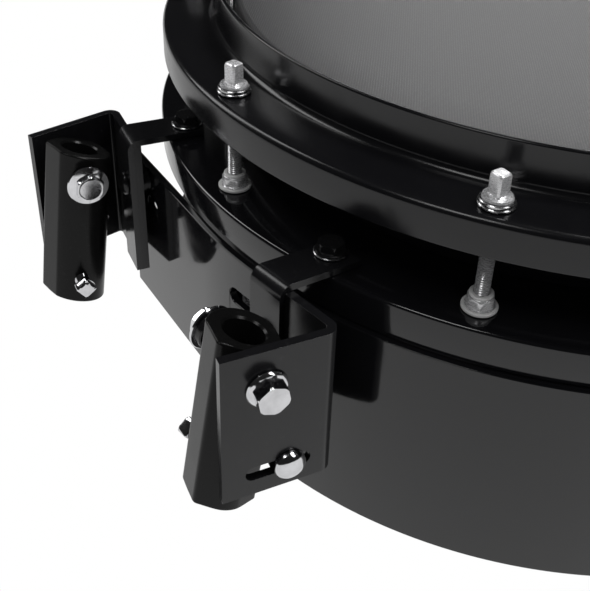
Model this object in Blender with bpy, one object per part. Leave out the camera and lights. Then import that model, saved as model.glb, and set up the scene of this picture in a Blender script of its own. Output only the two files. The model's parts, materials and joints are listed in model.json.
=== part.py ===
"""Shallow marching snare drum with a curved guard plate and two tilting tube sockets.

The drum's axis is Z and the middle of the batter head's top face is the origin.
The player stands on the -Y side, where the guard plate and the brackets are.
Heights are measured down from the batter head, and below the lug ring for the brackets.
"""
import math

import bmesh
import bpy
from mathutils import Matrix, Vector

MM = 0.001
GAP = 0.3 * MM

# Shell and heads
SHELL_DEPTH = 165 * MM
SHELL_RADIUS = 176.5 * MM
SHELL_WALL = 6 * MM
SHELL_EDGE = 2 * MM
FILM = 0.5 * MM
COLLAR_WALL = 1 * MM
COLLAR_ROUND = 1.5 * MM
COLLAR_DROP = 14 * MM
FILM_RADIUS = SHELL_RADIUS + GAP + COLLAR_WALL
FLESH_WIDTH = 6 * MM
FLESH_HEIGHT = 7 * MM
FLESH_TOP = 8 * MM
FLESH_RADIUS = FILM_RADIUS + GAP + FLESH_WIDTH

# Hoops: a lip, a flange for the rods, a skirt and a ledge on the flesh hoop
HOOP_CLEARANCE = 1.1 * MM
LIP_HEIGHT = 9 * MM
LIP_WALL = 2.3 * MM
LIP_CHAMFER = 0.7 * MM
LIP_INNER = FLESH_RADIUS + HOOP_CLEARANCE
LIP_OUTER = LIP_INNER + LIP_WALL
FLANGE_DROP = 10 * MM
FLANGE_WALL = 3 * MM
FLANGE_WIDTH = 24.9 * MM
FLANGE_FILLET = 3.6 * MM
HOOP_BEND = 2.4 * MM
HOOP_RADIUS = LIP_OUTER + FLANGE_WIDTH
HOOP_SKIRT = 15.6 * MM
SKIRT_WALL = 2.5 * MM
LEDGE_WALL = 3 * MM
LEDGE_CLEARANCE = 2.5 * MM

# Lug ring: a channel round the shell with a sleeve under each rod
RING_DROP = 55 * MM
RING_OVERHANG = 2.6 * MM
RING_RADIUS = HOOP_RADIUS + RING_OVERHANG
RING_SKIRT = 16 * MM
RING_BEND = 1.6 * MM
RING_SLEEVE_WALL = 3 * MM
ROD_SLEEVE_RADIUS = 6.5 * MM
ROD_SLEEVE_LENGTH = 30 * MM

# Tension rods
ROD_COUNT = 10
ROD_OFFSET = 13.9 * MM
ROD_CIRCLE = LIP_OUTER + ROD_OFFSET
ROD_RADIUS = 3 * MM
BOLT_CLEARANCE = 0.4 * MM
ROD_HEAD_WIDTH = 6.2 * MM
ROD_HEAD_HEIGHT = 9.7 * MM
ROD_COLLAR_RADIUS = 5.6 * MM
ROD_COLLAR_HEIGHT = 1.6 * MM
WASHER_RADIUS = 7 * MM
WASHER_HEIGHT = 1.4 * MM
BATTER_ROD_REACH = 18 * MM
SNARE_ROD_REACH = 22 * MM
NUT_HALF = 5 * MM
NUT_FLANGE_RADIUS = 7.1 * MM
NUT_FLANGE_HEIGHT = 1.3 * MM
NUT_HEIGHT = 6.2 * MM
NUT_COLLAR_RADIUS = 4.7 * MM
NUT_COLLAR_HEIGHT = 1 * MM

# Guard plate: flat on the player's left, round the lug ring on the right
GUARD_PROUD = 2.5 * MM
GUARD_WALL = 3.5 * MM
GUARD_RADIUS = RING_RADIUS + GUARD_PROUD
GUARD_TOP = RING_SKIRT + GAP
GUARD_BOTTOM_LEFT = 96 * MM
GUARD_BOTTOM_RIGHT = 117 * MM
GUARD_STEP_FROM = math.radians(-78)
GUARD_STEP_TO = math.radians(-72)
GUARD_END = math.radians(-28)
GUARD_FLAT = 80 * MM
GUARD_SLOTS = ((-61.2 * MM, -49.2 * MM), (22.9 * MM, 46.9 * MM))
GUARD_SLOT_DROP = 36.6 * MM
GUARD_SLOT_HALF = 3.9 * MM

# Brackets between the rods: a foot on the ring, a leg, a wing and a folded clamp plate
PAIR_TURN = math.radians(1.45)
BRACKET_ANGLE = math.radians(17.25)
WING_TURN = math.radians(9)
BRACKET_BOLT_INSET = 9.7 * MM
BRACKET_BOLT_CIRCLE = RING_RADIUS - BRACKET_BOLT_INSET
BRACKET_WALL = 3 * MM
FOOT_HALF = 8.7 * MM
FOOT_TIP = 5.5 * MM
FOOT_BEND = 5.5 * MM
FOOT_PROUD = 0.3 * MM
RIGHT_TIP_SHIFT = 2.7 * MM
RIGHT_LEG_SHIFT = -2.7 * MM
LEFT_SHIFT = 0.8 * MM
STAND_OFF = 12.2 * MM
WING_WALL = 3.6 * MM
WING_INNER = GUARD_RADIUS - BRACKET_BOLT_CIRCLE + STAND_OFF
WING_OUTER = WING_INNER + WING_WALL
LEG_OUTER = WING_OUTER - FOOT_PROUD + BRACKET_WALL
WING_REACH = 33.9 * MM
WING_BOTTOM = 69.2 * MM
BEND_RADIUS = 5 * MM
CLAMP_TURN = math.radians(17.8)
CLAMP_LENGTH = 43 * MM
SLOT_FROM = 7.9 * MM
SLOT_TO = 33.9 * MM
SLOT_DROP = 58.3 * MM
SLOT_HALF = 3.4 * MM

# Bolts
BOLT_RADIUS = 3 * MM
BOLT_FLANGE_RADIUS = 7 * MM
BOLT_FLANGE_HEIGHT = 1.2 * MM
BOLT_HEX_HALF = 5 * MM
BOLT_HEX_HEIGHT = 4 * MM
PIVOT_ALONG = 25.9 * MM
PIVOT_DROP = 16.8 * MM
PIVOT_RADIUS = 4 * MM
PIVOT_REACH = 3.5 * MM
PIVOT_FLANGE_RADIUS = 8.2 * MM
PIVOT_FLANGE_HEIGHT = 1.6 * MM
PIVOT_HEX_HALF = 6.2 * MM
PIVOT_HEX_HEIGHT = 5.8 * MM
SLOT_BOLT_ALONG = 16.7 * MM
SLOT_BOLT_RADIUS = 3 * MM
SLOT_BOLT_HEAD_RADIUS = 6.5 * MM
SLOT_BOLT_HEAD_HEIGHT = 4.2 * MM
GUARD_BOLT_DROP = 22.5 * MM
GUARD_PILLAR_RADIUS = 6 * MM
GUARD_BOLT_HEAD_RADIUS = 6 * MM
GUARD_BOLT_HEAD_HEIGHT = 3.4 * MM
GUARD_NUT_HALF = 5 * MM
GUARD_NUT_HEIGHT = 4 * MM

# Sockets for the carrier's tubes
SOCKET_TILT = math.radians(8.4)
SOCKET_OFFSET = 3.45 * MM
SOCKET_HALF = 14.1 * MM
SOCKET_BORE = 7.9 * MM
SOCKET_RISE = 12.3 * MM
SOCKET_FALL = 65.1 * MM
SOCKET_FACE_TURN = math.radians(12)
SOCKET_ROUND = 1 * MM
SOCKET_SIDES = 24
ARM_WALL = 3 * MM
ARM_MARGIN = 2.2 * MM
ARM_RISE = 14 * MM
ARM_HOLE_HALF = 4.2 * MM
BACK_SCREW_TURN = math.radians(108)
SET_SCREW_DROP = 51 * MM
SET_SCREW_RADIUS = 3.4 * MM
SET_SCREW_HEAD_HALF = 3.5 * MM
SET_SCREW_HEAD_FROM = 18 * MM
SET_SCREW_HEAD_TO = 24 * MM
REAR_BOLT_RISE = 1.5 * MM
REAR_BOLT_BOSS_RADIUS = 5.5 * MM
REAR_BOLT_FLANGE_RADIUS = 10 * MM
REAR_BOLT_FLANGE_FROM = 17.6 * MM

# Snares and strainer
SNARE_HALF = 18 * MM
SNARE_BAND = 1.4 * MM
SNARE_STRAP_TOP = 72 * MM
GATE_HALF = 21 * MM
GATE_DEPTH = 13 * MM
BUTT_WALL = 10.8 * MM
BUTT_HALF = 18 * MM
BUTT_TOP = 56 * MM
STRAINER_TOP = 20 * MM
STRAINER_BOTTOM = 78 * MM
SHELF_DROP = 66 * MM
SHELF_WALL = 2.4 * MM
SHELF_REACH = 14 * MM
SHELF_HALF = 9 * MM
KNOB_OFFSET = 7.5 * MM
KNOB_RADIUS = 6.2 * MM
KNOB_HEIGHT = 10 * MM
KNOB_SHAFT_RADIUS = 2 * MM
KNOB_SHAFT_REACH = 5 * MM
LEVER_DROP = 26 * MM
LEVER_LENGTH = 24 * MM
LEVER_HALF = 11 * MM
LEVER_WALL = 4 * MM
LEVER_PIN_OFFSET = 3.5 * MM
LEVER_PIN_RADIUS = 2 * MM
LEVER_HUB_RADIUS = 3.2 * MM
EAR_WALL = 3 * MM

RING_SEGMENTS = 60
FRONT = math.radians(-90)
QUARTER = math.pi / 2


def clear_scene():
    for thing in list(bpy.data.objects):
        bpy.data.objects.remove(thing, do_unlink=True)


def material(name, colour, roughness, metallic):
    made = bpy.data.materials.new(name)
    made.use_nodes = True
    shader = made.node_tree.nodes["Principled BSDF"]
    shader.inputs["Base Color"].default_value = (*colour, 1)
    shader.inputs["Roughness"].default_value = roughness
    shader.inputs["Metallic"].default_value = metallic
    return made


def add_object(name, bm, finish, origin=Vector()):
    """A named object from a mesh under construction; a moving piece has its origin on its axis."""
    bm.transform(Matrix.Translation(-origin))
    bmesh.ops.recalc_face_normals(bm, faces=bm.faces)
    mesh = bpy.data.meshes.new(name)
    bm.to_mesh(mesh)
    bm.free()
    mesh.shade_smooth()
    mesh.set_sharp_from_angle(angle=math.radians(35))
    mesh.materials.append(finish)
    thing = bpy.data.objects.new(name, mesh)
    thing.location = origin
    bpy.context.scene.collection.objects.link(thing)
    return thing


def turned(bm, profile, segments=RING_SEGMENTS, place=Matrix.Identity(4)):
    """Turns a closed outline of (radius, height) points a full turn about Z."""
    rows = []
    for radius, height in profile:
        if radius < 1e-7:
            rows.append([bm.verts.new(place @ Vector((0, 0, height)))] * segments)
            continue
        row = []
        for step in range(segments):
            angle = 2 * math.pi * step / segments
            point = Vector((radius * math.cos(angle), radius * math.sin(angle), height))
            row.append(bm.verts.new(place @ point))
        rows.append(row)
    for index, row in enumerate(rows):
        following = rows[(index + 1) % len(rows)]
        for step in range(segments):
            after = (step + 1) % segments
            corners = [row[step], row[after], following[after], following[step]]
            corners = list(dict.fromkeys(corners))
            if len(corners) > 2:
                bm.faces.new(corners)


def prism(bm, outline, low, high, place=Matrix.Identity(4)):
    """Extrudes a closed outline of (x, y) points from one height to another."""
    floor = [bm.verts.new(place @ Vector((x, y, low))) for x, y in outline]
    roof = [bm.verts.new(place @ Vector((x, y, high))) for x, y in outline]
    bm.faces.new(floor[::-1])
    bm.faces.new(roof)
    for index in range(len(outline)):
        after = (index + 1) % len(outline)
        bm.faces.new([floor[index], floor[after], roof[after], roof[index]])


def lofted(bm, rows, closed):
    """Joins rows of places with faces; an open loft is capped at its first and last row."""
    loops = [[bm.verts.new(point) for point in row] for row in rows]
    pairs = list(zip(loops, loops[1:]))
    if closed:
        pairs.append((loops[-1], loops[0]))
    else:
        bm.faces.new(loops[0][::-1])
        bm.faces.new(loops[-1])
    for low, high in pairs:
        for step in range(len(low)):
            after = (step + 1) % len(low)
            bm.faces.new([low[step], low[after], high[after], high[step]])


def regular(radius, sides, turn=0.0):
    """The corners of a regular outline."""
    angles = [turn + 2 * math.pi * step / sides for step in range(sides)]
    return [(radius * math.cos(a), radius * math.sin(a)) for a in angles]


def rectangle(x_low, x_high, y_low, y_high):
    return [(x_low, y_low), (x_high, y_low), (x_high, y_high), (x_low, y_high)]


def arc(centre, radius, first, last, steps):
    """Points on an arc, both ends included."""
    angles = [first + (last - first) * step / steps for step in range(steps + 1)]
    return [(centre[0] + radius * math.cos(a), centre[1] + radius * math.sin(a)) for a in angles]


def rounded(corners, steps=3):
    """Rounds each (x, y, radius) corner of an outline with an arc."""
    points = []
    for index, (x, y, radius) in enumerate(corners):
        corner = Vector((x, y))
        if not radius:
            points.append((x, y))
            continue
        before = (Vector(corners[index - 1][:2]) - corner).normalized()
        after = (Vector(corners[(index + 1) % len(corners)][:2]) - corner).normalized()
        half = before.angle(after) / 2
        centre = corner + (before + after).normalized() * radius / math.sin(half)
        start = (corner + before * radius / math.tan(half) - centre).normalized()
        end = (corner + after * radius / math.tan(half) - centre).normalized()
        for step in range(steps + 1):
            points.append(tuple(centre + start.slerp(end, step / steps) * radius))
    return points


def around(angle, radius, height=0.0):
    """The place at an angle round the drum, with X pointing outward."""
    turn = Matrix.Rotation(angle, 4, "Z")
    return turn @ Matrix.Translation((radius, 0, height))


def flipped():
    """Carries a piece from the batter side to the snare side."""
    return Matrix.Translation((0, 0, -SHELL_DEPTH)) @ Matrix.Rotation(math.pi, 4, "X")


def guide(name, bm, finish):
    """A cutter or an added shape, which the build leaves out."""
    made = add_object(name, bm, finish)
    made.hide_render = True
    made.display_type = "WIRE"
    return made


def combine(thing, bm, name, operation):
    """Cuts a shape out of a piece, or joins it on."""
    step = thing.modifiers.new(name, "BOOLEAN")
    step.operation = operation
    step.solver = "EXACT"
    step.object = guide(name, bm, thing.data.materials[0])


def cut(thing, bm, name):
    combine(thing, bm, name, "DIFFERENCE")


def rod_angles():
    return [FRONT + 2 * math.pi * step / ROD_COUNT for step in range(ROD_COUNT)]


def make_shell(finish):
    bm = bmesh.new()
    inner = SHELL_RADIUS - SHELL_WALL
    top = -FILM - GAP
    bottom = -SHELL_DEPTH + FILM + GAP
    bevel = 2 * SHELL_EDGE
    turned(bm, [
        (inner, top - bevel), (inner + bevel, top), (SHELL_RADIUS - SHELL_EDGE, top),
        (SHELL_RADIUS, top - SHELL_EDGE), (SHELL_RADIUS, bottom + SHELL_EDGE),
        (SHELL_RADIUS - SHELL_EDGE, bottom), (inner + bevel, bottom), (inner, bottom + bevel),
    ])
    return add_object("shell", bm, finish)


def make_head(name, finish, place):
    bm = bmesh.new()
    inner = SHELL_RADIUS + GAP
    turned(bm, [
        (0, 0), (FILM_RADIUS - COLLAR_ROUND, 0), (FILM_RADIUS, -COLLAR_ROUND),
        (FILM_RADIUS, -COLLAR_DROP), (inner, -COLLAR_DROP), (inner, -FILM), (0, -FILM),
    ], place=place)
    return add_object(name, bm, finish)


def make_flesh_hoop(name, finish, place):
    bm = bmesh.new()
    inner = FILM_RADIUS + GAP
    low = -FLESH_TOP - FLESH_HEIGHT
    turned(bm, [(inner, low), (FLESH_RADIUS, low), (FLESH_RADIUS, -FLESH_TOP), (inner, -FLESH_TOP)],
           place=place)
    return add_object(name, bm, finish)


def hoop_profile():
    ledge_low = -FLESH_TOP + GAP
    ledge_high = ledge_low + LEDGE_WALL
    ledge_in = FILM_RADIUS + LEDGE_CLEARANCE
    under = -FLANGE_DROP - FLANGE_WALL
    skirt_low = -FLANGE_DROP - HOOP_SKIRT
    fillet_centre = (LIP_OUTER + FLANGE_FILLET, -FLANGE_DROP + FLANGE_FILLET)
    bend_centre = (HOOP_RADIUS - HOOP_BEND, -FLANGE_DROP - HOOP_BEND)
    return [
        (LIP_INNER, LIP_HEIGHT - LIP_CHAMFER), (LIP_INNER + LIP_CHAMFER, LIP_HEIGHT),
        (LIP_OUTER - LIP_CHAMFER, LIP_HEIGHT), (LIP_OUTER, LIP_HEIGHT - LIP_CHAMFER),
        *arc(fillet_centre, FLANGE_FILLET, math.pi, 3 * QUARTER, 2),
        *arc(bend_centre, HOOP_BEND, QUARTER, 0, 2),
        (HOOP_RADIUS, skirt_low), (HOOP_RADIUS - SKIRT_WALL, skirt_low),
        (HOOP_RADIUS - SKIRT_WALL, under), (LIP_INNER, under),
        (LIP_INNER, ledge_low), (ledge_in, ledge_low), (ledge_in, ledge_high), (LIP_INNER, ledge_high),
    ]


def make_hoop(name, finish, place):
    bm = bmesh.new()
    turned(bm, hoop_profile(), place=place)
    thing = add_object(name, bm, finish)
    holes = bmesh.new()
    low = -FLANGE_DROP - 2 * FLANGE_WALL
    for angle in rod_angles():
        outline = regular(ROD_RADIUS + BOLT_CLEARANCE, 12)
        prism(holes, outline, low, -FLANGE_DROP + FLANGE_WALL, place @ around(angle, ROD_CIRCLE))
    cut(thing, holes, name + "_holes")
    return thing


def cut_snare_gates(hoop):
    """Lets the snare straps pass through the snare hoop on both sides."""
    bm = bmesh.new()
    near = FILM_RADIUS + LEDGE_CLEARANCE - GAP
    low = -SHELL_DEPTH - 2 * LIP_HEIGHT
    high = -SHELL_DEPTH + FLANGE_DROP + 2 * FLANGE_WALL
    for side in (-1, 1):
        edges = sorted((side * near, side * (LIP_OUTER + GATE_DEPTH)))
        prism(bm, rectangle(*edges, -GATE_HALF, GATE_HALF), low, high)
    cut(hoop, bm, "snare_gates")


def make_lug_ring(finish):
    bm = bmesh.new()
    top = -RING_DROP
    inner = SHELL_RADIUS + GAP
    sleeve = inner + RING_SLEEVE_WALL
    low = top - RING_SKIRT
    under = top - FLANGE_WALL
    turned(bm, [
        (inner, top), (RING_RADIUS - RING_BEND, top), (RING_RADIUS, top - RING_BEND),
        (RING_RADIUS, low), (RING_RADIUS - SKIRT_WALL, low),
        (RING_RADIUS - SKIRT_WALL, under), (sleeve, under), (sleeve, low), (inner, low),
    ])
    ring = add_object("lug_ring", bm, finish)
    sleeves = bmesh.new()
    holes = bmesh.new()
    bore = ROD_RADIUS + BOLT_CLEARANCE
    foot = top - ROD_SLEEVE_LENGTH
    for angle in rod_angles():
        place = around(angle, ROD_CIRCLE)
        prism(sleeves, regular(ROD_SLEEVE_RADIUS, 12), foot, top - FLANGE_WALL / 2, place)
        prism(holes, regular(bore, 12), foot - FLANGE_WALL, top + FLANGE_WALL, place)
    for side in (-1, 1):
        hole = regular(BOLT_RADIUS + BOLT_CLEARANCE, 12)
        prism(holes, hole, -2 * FLANGE_WALL, FLANGE_WALL, bracket_frame(side))
    combine(ring, sleeves, "rod_sleeves", "UNION")
    cut(ring, holes, "ring_holes")
    return ring


def stacked(bm, sections, place, points=12, bore=0.0):
    """One closed body from stacked (sides, half width, height) sections; no sides is round."""
    turn = math.pi / 4
    rows = []
    for sides, half, height in sections:
        row = []
        for step in range(points):
            angle = turn + 2 * math.pi * step / points
            reach = half
            if sides:
                sector = 2 * math.pi / sides
                first = turn if sides == 4 else turn + sector / 2
                off = (angle - first) % sector - sector / 2
                reach = half / math.cos(off)
            row.append(place @ Vector((reach * math.cos(angle), reach * math.sin(angle), height)))
        rows.append(row)
    if bore:
        for height in (sections[-1][2], sections[0][2]):
            circle = regular(bore, points, turn)
            rows.append([place @ Vector((x, y, height)) for x, y in circle])
    lofted(bm, rows, bool(bore))


def make_tension_rods(name, finish, place, end):
    """Each rod has its washer, its collar and its square key head."""
    low = -FLANGE_DROP + GAP
    seat = low + WASHER_HEIGHT
    shoulder = seat + ROD_COLLAR_HEIGHT
    head = shoulder + ROD_HEAD_HEIGHT
    for index, angle in enumerate(rod_angles()):
        bm = bmesh.new()
        stacked(bm, [
            (0, ROD_RADIUS, -end), (0, ROD_RADIUS, low),
            (0, WASHER_RADIUS, low), (0, WASHER_RADIUS, seat),
            (0, ROD_COLLAR_RADIUS, seat), (0, ROD_COLLAR_RADIUS, shoulder),
            (4, ROD_HEAD_WIDTH / 2, shoulder), (4, ROD_HEAD_WIDTH / 2, head),
        ], place @ around(angle, ROD_CIRCLE))
        add_object(f"{name}_{index + 1}", bm, finish)


def make_lug_nuts(finish):
    low = -RING_DROP + GAP
    flange = low + NUT_FLANGE_HEIGHT
    top = low + NUT_HEIGHT
    for index, angle in enumerate(rod_angles()):
        bm = bmesh.new()
        stacked(bm, [
            (0, NUT_FLANGE_RADIUS, low), (0, NUT_FLANGE_RADIUS, flange),
            (6, NUT_HALF, flange), (6, NUT_HALF, top),
            (0, NUT_COLLAR_RADIUS, top), (0, NUT_COLLAR_RADIUS, top + NUT_COLLAR_HEIGHT),
        ], around(angle, ROD_CIRCLE), bore=ROD_RADIUS + GAP)
        add_object(f"lug_nut_{index + 1}", bm, finish)


def sided(side):
    """Mirrors a piece of the right-hand side to the left."""
    return Matrix.Scale(side, 4, (1, 0, 0))


def bracket_frame(side):
    """From the foot's bolt at the ring's top: X outward through the wing and Y along it."""
    bolt = around(FRONT + BRACKET_ANGLE, BRACKET_BOLT_CIRCLE, -RING_DROP)
    return Matrix.Rotation(PAIR_TURN, 4, "Z") @ sided(side) @ bolt @ Matrix.Rotation(-WING_TURN, 4, "Z")


def clamp_frame(side):
    """X back to the fold, Y up and Z out of the clamp plate's face, from its corner at the fold."""
    corner = Matrix.Translation((WING_OUTER, WING_REACH, 0))
    turn = Matrix.Rotation(math.pi - CLAMP_TURN, 4, "Z") @ Matrix.Rotation(QUARTER, 4, "X")
    return bracket_frame(side) @ corner @ turn


def pivot_frame(side, height=0.0):
    """The clamp frame moved to the socket's hinge axis."""
    return clamp_frame(side) @ Matrix.Translation((-PIVOT_ALONG, -PIVOT_DROP, height))


def socket_frame(side):
    """Z up along the socket's bore and Y away from the clamp plate, level with the hinge."""
    behind = -WING_WALL - GAP - SOCKET_HALF
    tilt = Matrix.Rotation(-SOCKET_TILT, 4, "Z")
    shift = Matrix.Translation((-SOCKET_OFFSET, 0, 0))
    return pivot_frame(side, behind) @ tilt @ shift @ Matrix.Rotation(-QUARTER, 4, "X")


def guard_columns():
    """The guard plate's outline from above as (outer, inner, depth) places, from left to right."""
    end = Vector((-GUARD_FLAT, -GUARD_RADIUS))
    columns = [(end, end + Vector((0, GUARD_WALL)), GUARD_BOTTOM_LEFT)]
    sector = 2 * math.pi / RING_SEGMENTS
    angles = [FRONT + sector * step for step in range(math.ceil((GUARD_END - FRONT) / sector))]
    for angle in angles + [GUARD_END]:
        direction = Vector((math.cos(angle), math.sin(angle)))
        share = min(max((angle - GUARD_STEP_FROM) / (GUARD_STEP_TO - GUARD_STEP_FROM), 0), 1)
        depth = GUARD_BOTTOM_LEFT + share * (GUARD_BOTTOM_RIGHT - GUARD_BOTTOM_LEFT)
        columns.append((direction * GUARD_RADIUS, direction * (GUARD_RADIUS - GUARD_WALL), depth))
    return columns


def make_guard_plate(finish):
    bm = bmesh.new()
    top = -RING_DROP - GUARD_TOP
    rows = []
    for outer, inner, depth in guard_columns():
        low = -RING_DROP - depth
        rows.append([outer.to_3d() + Vector((0, 0, low)), outer.to_3d() + Vector((0, 0, top)),
                     inner.to_3d() + Vector((0, 0, top)), inner.to_3d() + Vector((0, 0, low))])
    lofted(bm, rows, False)
    plate = add_object("guard_plate", bm, finish)
    holes = bmesh.new()
    level = -RING_DROP - GUARD_SLOT_DROP
    near = GUARD_RADIUS - STAND_OFF
    for x_low, x_high in GUARD_SLOTS:
        outline = arc((x_high - GUARD_SLOT_HALF, level), GUARD_SLOT_HALF, -QUARTER, QUARTER, 4)
        outline += arc((x_low + GUARD_SLOT_HALF, level), GUARD_SLOT_HALF, QUARTER, 3 * QUARTER, 4)
        prism(holes, outline, near, GUARD_RADIUS + GUARD_WALL, Matrix.Rotation(QUARTER, 4, "X"))
    for side in (-1, 1):
        outline = regular(BOLT_RADIUS + BOLT_CLEARANCE, 12)
        prism(holes, outline, guard_seat(side)[0] - STAND_OFF, WING_INNER, guard_bolt_frame(side))
    cut(plate, holes, "guard_holes")
    return plate


def guard_bolt_frame(side):
    """Z outward through the guard plate, the wing and the leg."""
    place = bracket_frame(side) @ Matrix.Translation((0, foot_shifts(side)[1], -GUARD_BOLT_DROP))
    return place @ Matrix.Rotation(QUARTER, 4, "Y")


def guard_seat(side):
    """Where the guard bolt meets the plate's outer face, the face's slope there and its stretch."""
    place = guard_bolt_frame(side)
    start, across, axis = (Vector((*place.col[column][:2],)) for column in (3, 1, 2))
    if side < 0:
        reach = (-GUARD_RADIUS - start.y) / axis.y
        normal = Vector((0, -1))
    else:
        along = start.dot(axis)
        reach = math.sqrt(along ** 2 - start.length_squared + GUARD_RADIUS ** 2) - along
        normal = (start + axis * reach).normalized()
    return reach, -normal.dot(across) / normal.dot(axis), 1 / normal.dot(axis)


def foot_shifts(side):
    """How far along the wing the foot's tip and the leg lie; the right foot is skewed."""
    return (RIGHT_TIP_SHIFT, RIGHT_LEG_SHIFT) if side > 0 else (LEFT_SHIFT, LEFT_SHIFT)


def wing_outline(start):
    """The wing and the clamp plate from above, one folded sheet."""
    along = Vector((math.cos(CLAMP_TURN), -math.sin(CLAMP_TURN)))
    face = Vector((math.sin(CLAMP_TURN), math.cos(CLAMP_TURN)))
    tip = Vector((WING_OUTER, WING_REACH)) + along * CLAMP_LENGTH
    fold = WING_WALL / math.cos(CLAMP_TURN)
    outside = WING_WALL * math.tan(CLAMP_TURN)
    hidden_tip = tip - face * WING_WALL
    return rounded([
        (WING_INNER, start, 0), (WING_OUTER, start, 0),
        (WING_OUTER, WING_REACH - fold, BEND_RADIUS - WING_WALL),
        (*hidden_tip, 0), (*tip, 0), (WING_INNER, WING_REACH + outside, BEND_RADIUS),
    ])


def add_foot(bm, side):
    """The strap from its tip on the ring over the bend and down the wing's front."""
    tip_shift, leg_shift = foot_shifts(side)
    top = GAP + BRACKET_WALL
    centre = (LEG_OUTER - FOOT_BEND, top - FOOT_BEND)
    low = FOOT_PROUD - WING_BOTTOM
    outer = [(-FOOT_TIP, top), *arc(centre, FOOT_BEND, QUARTER, 0, 4), (LEG_OUTER, low)]
    inner = [(-FOOT_TIP, GAP), *arc(centre, FOOT_BEND - BRACKET_WALL, QUARTER, 0, 4),
             (LEG_OUTER - BRACKET_WALL, low)]
    rows = []
    for index, pair in enumerate(zip(outer, inner)):
        shift = leg_shift if index else tip_shift
        sides = (shift - FOOT_HALF, shift + FOOT_HALF)
        corners = [(pair[0], sides[0]), (pair[0], sides[1]), (pair[1], sides[1]), (pair[1], sides[0])]
        rows.append([bracket_frame(side) @ Vector((x, y, z)) for (x, z), y in corners])
    lofted(bm, rows, False)


def make_bracket(name, side, finish):
    place = bracket_frame(side)
    bm = bmesh.new()
    prism(bm, wing_outline(foot_shifts(side)[1] - FOOT_HALF + FOOT_PROUD), -WING_BOTTOM, 0, place)
    bracket = add_object(name, bm, finish)
    foot = bmesh.new()
    add_foot(foot, side)
    combine(bracket, foot, name + "_foot", "UNION")
    holes = bmesh.new()
    bolt_hole = regular(BOLT_RADIUS + BOLT_CLEARANCE, 12)
    prism(holes, bolt_hole, -BRACKET_WALL, 2 * BRACKET_WALL, place)
    prism(holes, bolt_hole, WING_INNER - BRACKET_WALL, LEG_OUTER + BRACKET_WALL, guard_bolt_frame(side))
    through = (-2 * WING_WALL, WING_WALL)
    prism(holes, regular(PIVOT_RADIUS + BOLT_CLEARANCE, 16), *through, pivot_frame(side))
    ends = SLOT_FROM + SLOT_HALF, SLOT_TO - SLOT_HALF
    slot = arc((-ends[0], -SLOT_DROP), SLOT_HALF, -QUARTER, QUARTER, 6)
    slot += arc((-ends[1], -SLOT_DROP), SLOT_HALF, QUARTER, 3 * QUARTER, 6)
    prism(holes, slot, *through, clamp_frame(side))
    cut(bracket, holes, name + "_holes")
    return bracket


def make_bracket_bolt(name, side, finish):
    """Clamps the foot on the ring, with its nut below the ring's flange."""
    bm = bmesh.new()
    nut = -FLANGE_WALL - GAP
    seat = GAP + BRACKET_WALL + GAP
    head = seat + BOLT_FLANGE_HEIGHT
    stacked(bm, [
        (6, BOLT_HEX_HALF, nut - BOLT_HEX_HEIGHT), (6, BOLT_HEX_HALF, nut),
        (0, BOLT_RADIUS, nut), (0, BOLT_RADIUS, seat),
        (0, BOLT_FLANGE_RADIUS, seat), (0, BOLT_FLANGE_RADIUS, head),
        (6, BOLT_HEX_HALF, head), (6, BOLT_HEX_HALF, head + BOLT_HEX_HEIGHT),
    ], bracket_frame(side))
    return add_object(name, bm, finish)


def make_guard_bolt(name, side, finish):
    """Holds the guard plate off the wing; its inner end is cut to the plate's slope."""
    bm = bmesh.new()
    seat, slope, stretch = guard_seat(side)
    outer = seat + GAP * stretch
    inner = seat - (GUARD_WALL + 2 * GAP) * stretch
    outer_seat = LEG_OUTER + GAP
    head = outer_seat + GUARD_BOLT_HEAD_HEIGHT
    stacked(bm, [
        (6, GUARD_NUT_HALF, inner - GUARD_NUT_HEIGHT), (6, GUARD_NUT_HALF, inner),
        (0, BOLT_RADIUS, inner), (0, BOLT_RADIUS, outer),
        (0, GUARD_PILLAR_RADIUS, outer), (0, GUARD_PILLAR_RADIUS, WING_INNER - GAP),
        (0, BOLT_RADIUS, WING_INNER - GAP), (0, BOLT_RADIUS, outer_seat),
        (0, GUARD_BOLT_HEAD_RADIUS, outer_seat), (0, GUARD_BOLT_HEAD_RADIUS, outer_seat + 2 * GAP),
        (0, GUARD_BOLT_HEAD_RADIUS / 2, head),
    ], Matrix.Identity(4))
    for vertex in bm.verts:
        if vertex.co.z < outer + GAP:
            vertex.co.z += slope * vertex.co.y
    bm.transform(guard_bolt_frame(side))
    return add_object(name, bm, finish)


def make_pivot_bolt(name, side, finish):
    """The socket tilts on this bolt."""
    bm = bmesh.new()
    tip = -WING_WALL - GAP - PIVOT_REACH
    flange = GAP + PIVOT_FLANGE_HEIGHT
    stacked(bm, [
        (0, PIVOT_RADIUS, tip), (0, PIVOT_RADIUS, GAP),
        (0, PIVOT_FLANGE_RADIUS, GAP), (0, PIVOT_FLANGE_RADIUS, flange),
        (6, PIVOT_HEX_HALF, flange), (6, PIVOT_HEX_HALF, flange + PIVOT_HEX_HEIGHT),
    ], pivot_frame(side))
    return add_object(name, bm, finish)


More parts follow.
